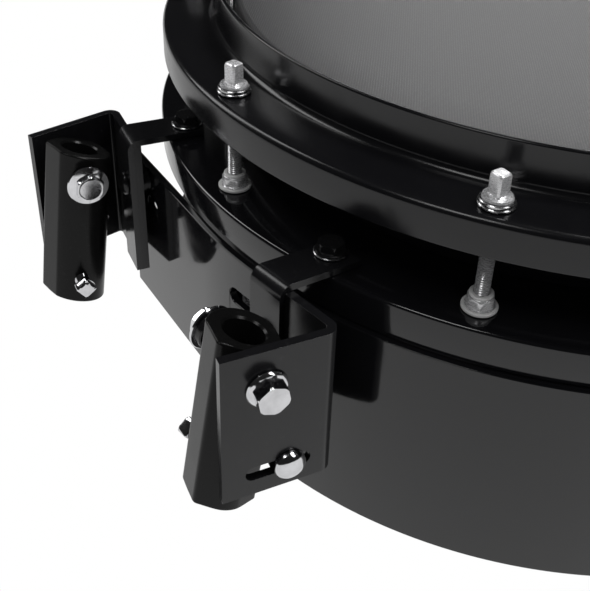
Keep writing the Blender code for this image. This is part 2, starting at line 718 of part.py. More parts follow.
def make_slot_bolt(name, side, finish):
    """Slides along the clamp plate's slot with the socket's arm."""
    bm = bmesh.new()
    place = clamp_frame(side) @ Matrix.Translation((-SLOT_BOLT_ALONG, -SLOT_DROP, 0))
    tip = -WING_WALL - ARM_WALL
    stacked(bm, [
        (0, SLOT_BOLT_RADIUS, tip), (0, SLOT_BOLT_RADIUS, GAP),
        (0, SLOT_BOLT_HEAD_RADIUS, GAP), (0, SLOT_BOLT_HEAD_RADIUS, 3 * GAP),
        (0, SLOT_BOLT_HEAD_RADIUS * 0.75, GAP + SLOT_BOLT_HEAD_HEIGHT * 0.75),
        (0, SLOT_BOLT_HEAD_RADIUS * 0.3, GAP + SLOT_BOLT_HEAD_HEIGHT),
    ], place)
    return add_object(name, bm, finish, place.to_translation())


def slot_bolt_place(side):
    """The slot bolt's axis as seen from the socket, in the clamp plate's plane."""
    along = clamp_frame(side) @ Matrix.Translation((-SLOT_BOLT_ALONG, -SLOT_DROP, 0))
    seen = socket_frame(side).inverted() @ along.to_translation()
    return seen.x, seen.z


def make_socket(name, side, finish):
    """A round tube whose ends are cut askew, with an arm to the slot bolt."""
    place = socket_frame(side)
    skew = math.tan(SOCKET_FACE_TURN)
    rows = []
    for radius, height in (
        (SOCKET_HALF - SOCKET_ROUND, -SOCKET_FALL), (SOCKET_HALF, -SOCKET_FALL + SOCKET_ROUND),
        (SOCKET_HALF, SOCKET_RISE - SOCKET_ROUND), (SOCKET_HALF - SOCKET_ROUND, SOCKET_RISE),
        (SOCKET_BORE, SOCKET_RISE), (SOCKET_BORE, -SOCKET_FALL),
    ):
        rows.append([place @ Vector((x, y, height - x * skew)) for x, y in regular(radius, SOCKET_SIDES)])
    bm = bmesh.new()
    lofted(bm, rows, True)
    hinge = pivot_frame(side, -WING_WALL).to_translation()
    socket = add_object(name, bm, finish, hinge)
    bolt_x, bolt_z = slot_bolt_place(side)
    half = SLOT_BOLT_RADIUS + BOLT_CLEARANCE
    root = SOCKET_HALF / 4
    side_margin = half + ARM_MARGIN
    end_margin = ARM_HOLE_HALF + ARM_MARGIN
    outline = rounded([
        (root, bolt_z + ARM_MARGIN, 0), (bolt_x - side_margin, bolt_z + ARM_MARGIN, 0),
        (bolt_x - side_margin, bolt_z - end_margin, side_margin / 2),
        (bolt_x + side_margin, bolt_z - end_margin, side_margin / 2),
        (bolt_x + side_margin, bolt_z + end_margin, side_margin / 2), (root, bolt_z + ARM_RISE, 0),
    ])
    arm = bmesh.new()
    prism(arm, outline, SOCKET_HALF - ARM_WALL, SOCKET_HALF, place @ Matrix.Rotation(QUARTER, 4, "X"))
    combine(socket, arm, name + "_arm", "UNION")
    holes = bmesh.new()
    slot = arc((bolt_x, bolt_z + ARM_HOLE_HALF - half), half, 0, math.pi, 6)
    slot += arc((bolt_x, bolt_z + half - ARM_HOLE_HALF), half, math.pi, 2 * math.pi, 6)
    prism(holes, slot, SOCKET_HALF - 2 * ARM_WALL, SOCKET_HALF + ARM_WALL,
          place @ Matrix.Rotation(QUARTER, 4, "X"))
    prism(holes, regular(PIVOT_RADIUS + BOLT_CLEARANCE, 16),
          -WING_WALL - 2 * GAP - PIVOT_REACH, 0, pivot_frame(side))
    for level, radius in ((-SET_SCREW_DROP, SET_SCREW_RADIUS), (REAR_BOLT_RISE, PIVOT_RADIUS)):
        screw = regular(radius + BOLT_CLEARANCE, 12)
        prism(holes, screw, SOCKET_BORE / 2, 2 * SOCKET_HALF, back_screw_frame(side, level))
    cut(socket, holes, name + "_holes")
    return socket


def back_screw_frame(side, level):
    """Z outward through the socket's wall on the side away from the clamp plate."""
    turn = Matrix.Rotation(BACK_SCREW_TURN, 4, "Z") @ Matrix.Rotation(QUARTER, 4, "Y")
    return socket_frame(side) @ Matrix.Translation((0, 0, level)) @ turn


def make_set_screw(name, side, finish):
    bm = bmesh.new()
    place = back_screw_frame(side, -SET_SCREW_DROP)
    stacked(bm, [
        (0, SET_SCREW_RADIUS, SOCKET_BORE + GAP), (0, SET_SCREW_RADIUS, SET_SCREW_HEAD_FROM),
        (4, SET_SCREW_HEAD_HALF, SET_SCREW_HEAD_FROM), (4, SET_SCREW_HEAD_HALF, SET_SCREW_HEAD_TO),
    ], place)
    return add_object(name, bm, finish, place @ Vector((0, 0, SOCKET_HALF)))


def make_rear_bolt(name, side, finish):
    """A flange bolt on a spacer, level with the socket's hinge."""
    bm = bmesh.new()
    flange = REAR_BOLT_FLANGE_FROM + PIVOT_FLANGE_HEIGHT
    stacked(bm, [
        (0, PIVOT_RADIUS, SOCKET_BORE + GAP), (0, PIVOT_RADIUS, SOCKET_HALF + GAP),
        (0, REAR_BOLT_BOSS_RADIUS, SOCKET_HALF + GAP), (0, REAR_BOLT_BOSS_RADIUS, REAR_BOLT_FLANGE_FROM),
        (0, REAR_BOLT_FLANGE_RADIUS, REAR_BOLT_FLANGE_FROM), (0, REAR_BOLT_FLANGE_RADIUS, flange),
        (6, PIVOT_HEX_HALF, flange), (6, PIVOT_HEX_HALF, flange + PIVOT_HEX_HEIGHT),
    ], back_screw_frame(side, REAR_BOLT_RISE))
    return add_object(name, bm, finish)


def strap_face():
    """Where the snare straps lie on the strainer and the butt plate."""
    return SHELL_RADIUS + GAP + BUTT_WALL


def make_snares(finish):
    """A band under the snare head with a strap that rises at each end."""
    bm = bmesh.new()
    near = strap_face() + GAP
    far = near + SNARE_BAND
    high = -SHELL_DEPTH - GAP
    low = high - SNARE_BAND
    top = -RING_DROP - SNARE_STRAP_TOP
    outline = [(-far, low), (far, low), (far, top), (near, top),
               (near, high), (-near, high), (-near, top), (-far, top)]
    prism(bm, outline, -SNARE_HALF, SNARE_HALF, Matrix.Rotation(QUARTER, 4, "X"))
    return add_object("snares", bm, finish)


def make_butt_plate(finish):
    bm = bmesh.new()
    outline = rectangle(SHELL_RADIUS + GAP, strap_face(), -BUTT_HALF, BUTT_HALF)
    prism(bm, outline, -RING_DROP - STRAINER_BOTTOM, -RING_DROP - BUTT_TOP)
    return add_object("butt_plate", bm, finish)


def lever_axis():
    return Vector((-strap_face() - LEVER_PIN_OFFSET, 0, -RING_DROP - LEVER_DROP))


def make_strainer_base(finish):
    """A block on the shell with two ears for the lever and a shelf for the tension knob."""
    bm = bmesh.new()
    face = strap_face()
    back = SHELL_RADIUS + GAP
    bottom = -RING_DROP - STRAINER_BOTTOM
    prism(bm, rectangle(-face, -back, -BUTT_HALF, BUTT_HALF), bottom, -RING_DROP - STRAINER_TOP)
    base = add_object("strainer_base", bm, finish)
    extras = bmesh.new()
    axis = lever_axis()
    tip = -face - 2 * LEVER_PIN_OFFSET
    for side in (-1, 1):
        edges = sorted((side * (LEVER_HALF + GAP), side * (LEVER_HALF + GAP + EAR_WALL)))
        ear_low = axis.z - LEVER_HUB_RADIUS
        prism(extras, rectangle(tip, -back - BUTT_WALL / 2, *edges), ear_low, axis.z + LEVER_HUB_RADIUS)
    shelf_top = -RING_DROP - SHELF_DROP
    shelf = rectangle(-face - SHELF_REACH, -back - BUTT_WALL / 2, -SHELF_HALF, SHELF_HALF)
    prism(extras, shelf, shelf_top - SHELF_WALL, shelf_top)
    combine(base, extras, "strainer_extras", "UNION")
    holes = bmesh.new()
    pin = Matrix.Translation(axis) @ Matrix.Rotation(QUARTER, 4, "X")
    reach = LEVER_HALF + 2 * EAR_WALL
    prism(holes, regular(LEVER_PIN_RADIUS + BOLT_CLEARANCE, 12), -reach, reach, pin)
    shaft = Matrix.Translation((-face - KNOB_OFFSET, 0, shelf_top))
    prism(holes, regular(KNOB_SHAFT_RADIUS + BOLT_CLEARANCE, 12), -2 * SHELF_WALL, SHELF_WALL, shaft)
    cut(base, holes, "strainer_holes")
    return base


def make_throw_off_lever(finish):
    """A hub on a pin between the ears, with a handle that hangs down."""
    bm = bmesh.new()
    axis = lever_axis()
    place = Matrix.Translation(axis) @ Matrix.Rotation(QUARTER, 4, "X")
    pin_end = LEVER_HALF + GAP + EAR_WALL
    turn = math.pi / 4
    rows = []
    for radius, height in (
        (LEVER_PIN_RADIUS, -pin_end), (LEVER_PIN_RADIUS, -LEVER_HALF),
        (LEVER_HUB_RADIUS, -LEVER_HALF), (LEVER_HUB_RADIUS, LEVER_HALF),
        (LEVER_PIN_RADIUS, LEVER_HALF), (LEVER_PIN_RADIUS, pin_end),
    ):
        rows.append([place @ Vector((x, y, height)) for x, y in regular(radius, 12, turn)])
    lofted(bm, rows, False)
    lever = add_object("throw_off_lever", bm, finish, axis)
    handle = bmesh.new()
    outline = rectangle(axis.x - LEVER_WALL + LEVER_PIN_RADIUS, axis.x + LEVER_PIN_RADIUS,
                        GAP - LEVER_HALF, LEVER_HALF - GAP)
    prism(handle, outline, axis.z - LEVER_LENGTH, axis.z)
    combine(lever, handle, "lever_handle", "UNION")
    return lever


def make_tension_knob(finish):
    bm = bmesh.new()
    foot = -RING_DROP - SHELF_DROP + GAP
    place = Matrix.Translation((-strap_face() - KNOB_OFFSET, 0, foot))
    stacked(bm, [
        (0, KNOB_SHAFT_RADIUS, -KNOB_SHAFT_REACH), (0, KNOB_SHAFT_RADIUS, 0),
        (0, KNOB_RADIUS, 0), (0, KNOB_RADIUS, KNOB_HEIGHT - SHELL_EDGE),
        (0, KNOB_RADIUS - SHELL_EDGE, KNOB_HEIGHT),
    ], place, 16)
    return add_object("tension_knob", bm, finish, place.to_translation())


def build():
    clear_scene()
    gloss_black = material("gloss_black", (0.012, 0.012, 0.013), 0.15, 0.0)
    satin_black = material("satin_black", (0.02, 0.02, 0.021), 0.32, 0.0)
    chrome = material("chrome", (0.8, 0.8, 0.82), 0.12, 1.0)
    film = material("head_film", (0.035, 0.035, 0.037), 0.55, 0.0)
    top = Matrix.Identity(4)
    bottom = flipped()
    make_shell(gloss_black)
    for side, place in (("batter", top), ("snare", bottom)):
        make_head(side + "_head", film, place)
        make_flesh_hoop(side + "_flesh_hoop", chrome, place)
    make_hoop("batter_hoop", satin_black, top)
    cut_snare_gates(make_hoop("snare_hoop", satin_black, bottom))
    make_lug_ring(gloss_black)
    make_tension_rods("batter_rod", chrome, top, RING_DROP + BATTER_ROD_REACH)
    make_tension_rods("snare_rod", chrome, bottom, SHELL_DEPTH - RING_DROP - SNARE_ROD_REACH)
    make_lug_nuts(chrome)
    make_guard_plate(gloss_black)
    for name, side in (("left", -1), ("right", 1)):
        make_bracket(name + "_bracket", side, satin_black)
        make_bracket_bolt(name + "_bracket_bolt", side, satin_black)
        make_guard_bolt(name + "_guard_bolt", side, satin_black)
        make_socket(name + "_socket", side, satin_black)
        make_pivot_bolt(name + "_pivot_bolt", side, chrome)
        make_rear_bolt(name + "_rear_bolt", side, chrome)
        make_slot_bolt(name + "_slot_bolt", side, chrome)
        make_set_screw(name + "_set_screw", side, chrome)
    make_snares(chrome)
    make_butt_plate(chrome)
    make_strainer_base(chrome)
    make_throw_off_lever(chrome)
    make_tension_knob(chrome)


build()
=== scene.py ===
"""Looks of a marching snare drum: smooth detailed pieces over the frame, finishes, light and camera."""
import json
import math

import bmesh
import bpy
from mathutils import Matrix, Vector


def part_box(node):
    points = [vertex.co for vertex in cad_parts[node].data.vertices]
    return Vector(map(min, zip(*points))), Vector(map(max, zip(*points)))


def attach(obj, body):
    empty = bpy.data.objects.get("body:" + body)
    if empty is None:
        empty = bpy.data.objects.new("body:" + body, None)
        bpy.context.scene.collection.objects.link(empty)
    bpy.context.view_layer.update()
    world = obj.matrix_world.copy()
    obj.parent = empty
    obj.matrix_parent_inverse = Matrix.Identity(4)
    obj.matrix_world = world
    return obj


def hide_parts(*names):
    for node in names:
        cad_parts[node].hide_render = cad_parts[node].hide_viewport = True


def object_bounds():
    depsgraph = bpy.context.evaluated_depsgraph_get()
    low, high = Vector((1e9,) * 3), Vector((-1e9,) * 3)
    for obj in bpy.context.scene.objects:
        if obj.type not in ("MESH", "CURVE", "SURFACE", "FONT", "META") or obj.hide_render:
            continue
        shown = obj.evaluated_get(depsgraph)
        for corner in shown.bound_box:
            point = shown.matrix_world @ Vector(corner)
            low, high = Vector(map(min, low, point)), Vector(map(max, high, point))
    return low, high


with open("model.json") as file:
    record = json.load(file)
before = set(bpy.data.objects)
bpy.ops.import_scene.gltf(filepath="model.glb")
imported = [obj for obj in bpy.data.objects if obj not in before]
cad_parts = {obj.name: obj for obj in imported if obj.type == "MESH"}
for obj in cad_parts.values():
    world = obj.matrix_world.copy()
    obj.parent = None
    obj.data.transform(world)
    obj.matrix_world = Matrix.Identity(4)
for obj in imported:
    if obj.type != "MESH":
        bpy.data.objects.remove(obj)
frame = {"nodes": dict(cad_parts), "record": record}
cad_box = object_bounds()

MM = 0.001
TURN = 2 * math.pi
QUARTER = math.pi / 2
FRONT = math.radians(-90)
ROUND_STEPS = 240

# Heights and radii read from the frame
LIP_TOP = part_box("batter_hoop")[1].z
HOOP_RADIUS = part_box("batter_hoop")[1].x
HOOP_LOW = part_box("batter_hoop")[0].z
RING_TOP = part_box("lug_ring")[1].z
RING_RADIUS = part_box("lug_ring")[1].x
SHELL_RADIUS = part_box("shell")[1].x
SHELL_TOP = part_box("shell")[1].z
SHELL_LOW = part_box("shell")[0].z
FILM_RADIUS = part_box("batter_head")[1].x
FILM_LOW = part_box("batter_head")[0].z
SNARE_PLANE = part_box("snare_head")[0].z
FLESH_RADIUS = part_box("batter_flesh_hoop")[1].x
FLESH_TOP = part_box("batter_flesh_hoop")[1].z
FLESH_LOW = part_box("batter_flesh_hoop")[0].z
GUARD_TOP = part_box("guard_plate")[1].z
GUARD_RADIUS = -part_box("guard_plate")[0].y
DEPTH = -SNARE_PLANE
GAP = 0.3 * MM

# Hoop
LIP_OUTER = 187.5 * MM
LIP_INNER = 185.2 * MM
FLANGE_LEVEL = -10 * MM
FLANGE_WALL = 3 * MM
LEDGE_INNER = 180.3 * MM
GATE_HALF = 21 * MM
GATE_REACH = 200.5 * MM

# Rods and nuts
ROD_COUNT = 10
ROD_CIRCLE = 201.4 * MM
ROD_RADIUS = 3 * MM
THREAD_PITCH = 1 * MM
THREAD_DEPTH = 0.55 * MM
KEY_HALF = 2.95 * MM
SLEEVE_RADIUS = 6.5 * MM
SLEEVE_LENGTH = 30 * MM

# Guard plate
GUARD_WALL = 3.5 * MM
GUARD_FLAT = -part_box("guard_plate")[0].x
GUARD_LOW_LEFT = -151 * MM
GUARD_LOW_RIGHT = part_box("guard_plate")[0].z
GUARD_STEP_FROM = math.radians(-78)
GUARD_STEP_TO = math.radians(-72)
GUARD_END = math.radians(-28)
GUARD_SLOTS = ((-61.2 * MM, -49.2 * MM), (22.9 * MM, 46.9 * MM))
GUARD_SLOT_DROP = 36.6 * MM
GUARD_SLOT_HALF = 3.9 * MM

# Brackets, as the part has them
PAIR_TURN = math.radians(1.45)
BRACKET_ANGLE = math.radians(17.25)
WING_TURN = math.radians(9)
BOLT_CIRCLE = 205.3 * MM
BRACKET_WALL = 3 * MM
FOOT_HALF = 8.7 * MM
FOOT_TIP = 5.5 * MM
FOOT_BEND = 5.5 * MM
WING_WALL = 3.6 * MM
WING_INNER = 24.4 * MM
WING_OUTER = WING_INNER + WING_WALL
LEG_OUTER = 30.7 * MM
WING_REACH = 33.9 * MM
WING_BOTTOM = 69.2 * MM
FOLD_RADIUS = 5 * MM
CLAMP_TURN = math.radians(17.8)
CLAMP_LENGTH = 43 * MM
SLOT_FROM = 7.9 * MM
SLOT_TO = 33.9 * MM
SLOT_DROP = 58.3 * MM
SLOT_HALF = 3.4 * MM
PIVOT_ALONG = 25.9 * MM
PIVOT_DROP = 16.8 * MM
SLOT_BOLT_ALONG = 16.7 * MM
GUARD_BOLT_DROP = 22.5 * MM

# Sockets
SOCKET_TILT = math.radians(8.4)
SOCKET_OFFSET = 3.45 * MM
SOCKET_HALF = 14.1 * MM
SOCKET_BORE = 7.9 * MM
SOCKET_RISE = 12.3 * MM
SOCKET_FALL = 65.1 * MM
FACE_TURN = math.radians(12)
ARM_WALL = 3 * MM
BACK_SCREW_TURN = math.radians(108)
SET_SCREW_DROP = 51 * MM
REAR_BOLT_RISE = 1.5 * MM

# Camera of the photograph
IMAGE_SIZE = (590, 591)
SENSOR_WIDTH = 36.0
FOCAL_PIXELS = 918.78
CENTRE_PIXEL = (376.44, 205.68)
CAMERA_PLACE = Vector((305.91, -360.64, 155.22)) * MM
CAMERA_RIGHT = Vector((0.574586, 0.815144, 0.073418))
CAMERA_UP = Vector((-0.473025, 0.257542, 0.842568))
CAMERA_BACK = Vector((0.667905, -0.518856, 0.533564))


def node_tree(name, colour, metallic=0.0, coat=0.0):
    """A Principled material and the parts that its maker needs."""
    made = bpy.data.materials.new(name)
    made.use_nodes = True
    nodes, links = made.node_tree.nodes, made.node_tree.links
    shader = nodes["Principled BSDF"]
    shader.inputs["Base Color"].default_value = (*colour, 1)
    shader.inputs["Metallic"].default_value = metallic
    shader.inputs["Coat Weight"].default_value = coat
    shader.inputs["Coat Roughness"].default_value = 0.04
    coords = nodes.new("ShaderNodeTexCoord").outputs["Object"]
    return made, nodes, links, shader, coords


def noise_node(nodes, links, coords, scale, detail=4, stretch=None):
    noise = nodes.new("ShaderNodeTexNoise")
    noise.inputs["Scale"].default_value = scale
    noise.inputs["Detail"].default_value = detail
    source = coords
    if stretch:
        mapping = nodes.new("ShaderNodeMapping")
        mapping.inputs["Scale"].default_value = stretch
        links.new(coords, mapping.inputs["Vector"])
        source = mapping.outputs["Vector"]
    links.new(source, noise.inputs["Vector"])
    return noise.outputs["Fac"]


def spread(nodes, links, source, low, high, start=0.3, stop=0.7):
    """Carries a texture's value to a range."""
    node = nodes.new("ShaderNodeMapRange")
    node.inputs["From Min"].default_value = start
    node.inputs["From Max"].default_value = stop
    node.inputs["To Min"].default_value = low
    node.inputs["To Max"].default_value = high
    links.new(source, node.inputs["Value"])
    return node.outputs["Result"]


def ramp(nodes, links, source, stops):
    node = nodes.new("ShaderNodeValToRGB")
    elements = node.color_ramp.elements
    for index, (place, colour) in enumerate(stops):
        element = elements[index] if index < 2 else elements.new(place)
        element.position = place
        element.color = (*colour, 1)
    links.new(source, node.inputs["Fac"])
    return node.outputs["Color"]


def bump(nodes, links, shader, source, strength, distance, before=None):
    node = nodes.new("ShaderNodeBump")
    node.inputs["Strength"].default_value = strength
    node.inputs["Distance"].default_value = distance
    links.new(source, node.inputs["Height"])
    if before:
        links.new(before, node.inputs["Normal"])
    links.new(node.outputs["Normal"], shader.inputs["Normal"])
    return node.outputs["Normal"]


def lacquer(name, colour, roughness):
    """Gloss black: a faint orange peel, dust and wiping marks in the roughness."""
    made, nodes, links, shader, coords = node_tree(name, colour, coat=0.25)
    peel = noise_node(nodes, links, coords, 260, 2)
    wiped = noise_node(nodes, links, coords, 30, 6, (1, 1, 5))
    links.new(spread(nodes, links, wiped, roughness * 0.7, roughness * 1.5), shader.inputs["Roughness"])
    bump(nodes, links, shader, peel, 0.05, 0.1 * MM)
    return made


def powder(name, colour, roughness, worn, gloss=0.5):
    """Satin powder coat: a fine grain, cloudy sheen and a few paler specks."""
    made, nodes, links, shader, coords = node_tree(name, colour)
    shader.inputs["Specular IOR Level"].default_value = gloss
    grain = noise_node(nodes, links, coords, 2600, 3)
    cloud = noise_node(nodes, links, coords, 55, 5)
    links.new(spread(nodes, links, cloud, roughness * 0.8, roughness * 1.25), shader.inputs["Roughness"])
    rubbed = noise_node(nodes, links, coords, 420, 6)
    edge = spread(nodes, links, rubbed, 0, 1, 0.62, 0.8)
    mix = nodes.new("ShaderNodeMix")
    mix.data_type = "RGBA"
    mix.inputs["A"].default_value = (*colour, 1)
    mix.inputs["B"].default_value = (*worn, 1)
    links.new(edge, mix.inputs["Factor"])
    links.new(mix.outputs["Result"], shader.inputs["Base Color"])
    bump(nodes, links, shader, grain, 0.16, 0.08 * MM)
    return made


def plated(name, colour, roughness, metallic=1.0):
    """Bright plate: fine scratches in the roughness, slight waves and a dull tone in places."""
    made, nodes, links, shader, coords = node_tree(name, colour, metallic)
    scratch = noise_node(nodes, links, coords, 700, 3, (1, 1, 9))
    waves = noise_node(nodes, links, coords, 160, 2)
    links.new(spread(nodes, links, scratch, roughness * 0.6, roughness * 1.8), shader.inputs["Roughness"])
    dull = tuple(c * 0.82 for c in colour)
    links.new(ramp(nodes, links, waves, ((0.3, dull), (0.65, colour))), shader.inputs["Base Color"])
    bump(nodes, links, shader, waves, 0.06, 0.15 * MM)
    return made


def woven_film():
    """Black drum film: two crossed sets of fine threads with a soft sheen."""
    made, nodes, links, shader, coords = node_tree("woven_film", FILM_COLOUR)
    shader.inputs["Roughness"].default_value = 0.42
    waves = []
    for turn in (math.radians(38), math.radians(128)):
        mapping = nodes.new("ShaderNodeMapping")
        mapping.inputs["Rotation"].default_value = (0, 0, turn)
        links.new(coords, mapping.inputs["Vector"])
        wave = nodes.new("ShaderNodeTexWave")
        wave.inputs["Scale"].default_value = WEAVE_SCALE
        wave.inputs["Distortion"].default_value = 2.5
        wave.inputs["Detail Scale"].default_value = 3
        links.new(mapping.outputs["Vector"], wave.inputs["Vector"])
        waves.append(wave.outputs["Fac"])
    product = nodes.new("ShaderNodeMath")
    product.operation = "MULTIPLY"
    links.new(waves[0], product.inputs[0])
    links.new(waves[1], product.inputs[1])
    pale = tuple(c * 2.1 for c in FILM_COLOUR)
    colour = ramp(nodes, links, product.outputs[0], ((0.15, FILM_COLOUR), (0.75, pale)))
    links.new(colour, shader.inputs["Base Color"])
    bump(nodes, links, shader, product.outputs[0], 0.35, 0.12 * MM)
    return made


FILM_COLOUR = (0.042, 0.042, 0.043)
WEAVE_SCALE = 300
FINISHES = {
    "gloss": lacquer("gloss_black_lacquer", (0.006, 0.006, 0.007), 0.09),
    "hoop": powder("satin_black_hoop", (0.006, 0.006, 0.007), 0.19, (0.012, 0.012, 0.013)),
    "satin": powder("satin_black_powder_coat", (0.008, 0.008, 0.009), 0.2, (0.022, 0.022, 0.023)),
    "cast": powder("satin_black_casting", (0.006, 0.006, 0.006), 0.2, (0.016, 0.016, 0.016), 0.2),
    "rod": plated("bright_zinc_rod", (0.78, 0.78, 0.79), 0.24, 0.55),
    # painted shade: a dark colour for the threads' lower flanks, standing in for the shade in the groove
    "groove_shade": plated("painted_shade_thread_groove", (0.05, 0.05, 0.05), 0.4, 0.3),
    "chrome": plated("chrome_plate", (0.86, 0.86, 0.88), 0.09),
    "zinc": plated("bright_zinc_washer", (0.62, 0.62, 0.63), 0.2),
    "steel": plated("snare_wire_steel", (0.55, 0.55, 0.56), 0.25),
    "black_bolt": plated("black_oxide_bolt", (0.022, 0.022, 0.023), 0.16, 0.6),
    "nylon": powder("grey_nylon", (0.72, 0.72, 0.71), 0.36, (0.8, 0.8, 0.8)),
    "film": woven_film(),
}


def piece(name, bm, finish, body, nodes=(), angle=35, groove_shade=None):
    """A finished piece that rides on a body and stands for the nodes it is given."""
    bmesh.ops.recalc_face_normals(bm, faces=bm.faces)
    mesh = bpy.data.meshes.new(name)
    bm.to_mesh(mesh)
    bm.free()
    mesh.shade_smooth()
    mesh.set_sharp_from_angle(angle=math.radians(angle))
    mesh.materials.append(FINISHES[finish])
    if groove_shade:
        mesh.materials.append(FINISHES[groove_shade])
    made = bpy.data.objects.new(name, mesh)
    bpy.context.scene.collection.objects.link(made)
    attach(made, body)
    if nodes:
        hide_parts(*nodes)
    return made


def bevelled(made, width, segments=2, angle=40):
    """Rounds the sharp edges, as a press or a file leaves them."""
    step = made.modifiers.new("edges", "BEVEL")
    step.width = width
    step.segments = segments
    step.limit_method = "ANGLE"
    step.angle_limit = math.radians(angle)
    level = made.modifiers.new("even_faces", "WEIGHTED_NORMAL")
    level.keep_sharp = True
    level.weight = 100
    return made


def carved(bm, cutters, operation="DIFFERENCE"):
    """The mesh with other closed meshes cut out of it or joined on, as a new mesh."""
    objects = []
    for source in (bm, *cutters):
        mesh = bpy.data.meshes.new("carving")
        bmesh.ops.recalc_face_normals(source, faces=source.faces)
        source.to_mesh(mesh)
        source.free()
        made = bpy.data.objects.new("carving", mesh)
        bpy.context.scene.collection.objects.link(made)
        objects.append(made)
    for cutter in objects[1:]:
        step = objects[0].modifiers.new("cut", "BOOLEAN")
        step.operation = operation
        step.solver = "EXACT"
        step.object = cutter
    graph = bpy.context.evaluated_depsgraph_get()
    result = bmesh.new()
    shown = objects[0].evaluated_get(graph)
    result.from_mesh(shown.to_mesh())
    shown.to_mesh_clear()
    for made in objects:
        mesh = made.data
        bpy.data.objects.remove(made)
        bpy.data.meshes.remove(mesh)
    return result


def around(angle, radius, height=0.0):
    return Matrix.Rotation(angle, 4, "Z") @ Matrix.Translation((radius, 0, height))


def arc(centre, radius, first, last, steps):
    angles = [first + (last - first) * step / steps for step in range(steps + 1)]
    return [(centre[0] + radius * math.cos(a), centre[1] + radius * math.sin(a)) for a in angles]


def rounded(corners, steps=8):
    """Rounds each (x, y, radius) corner of an outline with an arc."""
    points = []
    for index, (x, y, radius) in enumerate(corners):
        corner = Vector((x, y))
        if not radius:
            points.append((x, y))
            continue
        before = (Vector(corners[index - 1][:2]) - corner).normalized()
        after = (Vector(corners[(index + 1) % len(corners)][:2]) - corner).normalized()
        half = before.angle(after) / 2
        centre = corner + (before + after).normalized() * radius / math.sin(half)
        start = (corner + before * radius / math.tan(half) - centre).normalized()
        end = (corner + after * radius / math.tan(half) - centre).normalized()
        points += [tuple(centre + start.slerp(end, step / steps) * radius) for step in range(steps + 1)]
    return points


def prism(bm, outline, low, high, place=Matrix.Identity(4)):
    floor = [bm.verts.new(place @ Vector((x, y, low))) for x, y in outline]
    roof = [bm.verts.new(place @ Vector((x, y, high))) for x, y in outline]
    bm.faces.new(floor[::-1])
    bm.faces.new(roof)
    for index in range(len(outline)):
        after = (index + 1) % len(outline)
        bm.faces.new([floor[index], floor[after], roof[after], roof[index]])


def lofted(bm, rows, closed=False, capped=True):
    """Joins rows of places with faces."""
    loops = [[bm.verts.new(point) for point in row] for row in rows]
    pairs = list(zip(loops, loops[1:]))
    if closed:
        pairs.append((loops[-1], loops[0]))
    elif capped:
        bm.faces.new(loops[0][::-1])
        bm.faces.new(loops[-1])
    for low, high in pairs:
        for step in range(len(low)):
            after = (step + 1) % len(low)
            bm.faces.new([low[step], low[after], high[after], high[step]])


def circle(radius, steps=32, centre=(0, 0)):
    return [(centre[0] + radius * math.cos(TURN * s / steps), centre[1] + radius * math.sin(TURN * s / steps))
            for s in range(steps)]


def turned(bm, profile, steps=ROUND_STEPS, place=Matrix.Identity(4), gates=False):
    """Turns a closed outline of (radius, height) points; gates open it at the two snare straps."""
    gate = math.asin(GATE_HALF / LIP_OUTER)
    angles = [TURN * step / steps for step in range(steps)]
    if gates:
        for middle in (0, math.pi):
            for edge in (-gate, gate):
                angles += [(middle + edge - 1e-4) % TURN, (middle + edge + 1e-4) % TURN]
        angles.sort()
    rows = []
    for angle in angles:
        off = min(abs((angle - middle + math.pi) % TURN - math.pi) for middle in (0, math.pi))
        least = GATE_REACH if gates and off < gate else 0
        rows.append([place @ Vector((max(r, least) * math.cos(angle), max(r, least) * math.sin(angle), z))
                     for r, z in profile])
    lofted(bm, rows, closed=True)


def disc(bm, profile, steps=ROUND_STEPS, place=Matrix.Identity(4)):
    """Turns an open outline whose first and last points lie on the axis."""
    rows = [[place @ Vector((r * math.cos(TURN * s / steps), r * math.sin(TURN * s / steps), z))
             for s in range(steps)] for r, z in profile[1:-1]]
    loops = [[bm.verts.new(point) for point in row] for row in rows]
    for low, high in zip(loops, loops[1:]):
        for step in range(steps):
            after = (step + 1) % steps
            bm.faces.new([low[step], low[after], high[after], high[step]])
    for loop, (_, z) in ((loops[0], profile[0]), (loops[-1], profile[-1])):
        middle = bm.verts.new(place @ Vector((0, 0, z)))
        for step in range(steps):
            bm.faces.new([middle, loop[step], loop[(step + 1) % steps]])


def headed(bm, sections, place, points=48, bore=0.0):
    """A turned or sided body: each section is (sides, half width, largest radius, height)."""
    rows = []
    for sides, half, limit, height in sections:
        row = []
        for step in range(points):
            angle = TURN * step / points
            reach = limit
            if sides:
                sector = TURN / sides
                off = angle % sector - sector / 2
                reach = min(half / math.cos(off), limit)
            row.append(place @ Vector((reach * math.cos(angle), reach * math.sin(angle), height)))
        rows.append(row)
    if bore:
        for height in (sections[-1][3], sections[0][3]):
            rows.append([place @ Vector((x, y, height)) for x, y in circle(bore, points)])
    lofted(bm, rows, closed=bool(bore))


def threaded(bm, radius, low, high, place, pitch=THREAD_PITCH, points=20):
    """A screw thread: one helical ridge on a core; its lower flanks take a dark colour, as painted shade in the
    groove.
    """
    core = radius - THREAD_DEPTH
    steps = int((high - low) / pitch * points)
    crest, root = [], []
    for step in range(steps + 1):
        angle = TURN * step / points
        height = low + pitch * step / points
        edge = Vector((math.cos(angle), math.sin(angle), 0))
        root.append(bm.verts.new(place @ (edge * core + Vector((0, 0, height)))))
        crest.append(bm.verts.new(place @ (edge * radius + Vector((0, 0, height + pitch / 2)))))
    for step in range(steps):
        # lower flanks take material 1, the dark colour painted as shade in the groove
        bm.faces.new([root[step], root[step + 1], crest[step + 1], crest[step]]).material_index = 1
        if step + points + 1 <= steps:
            bm.faces.new([crest[step], crest[step + 1], root[step + points + 1], root[step + points]])
    lofted(bm, [[place @ Vector((x, y, z)) for x, y in circle(core, points)] for z in (low, high)])


def rod_angles():
    return [FRONT + TURN * step / ROD_COUNT for step in range(ROD_COUNT)]


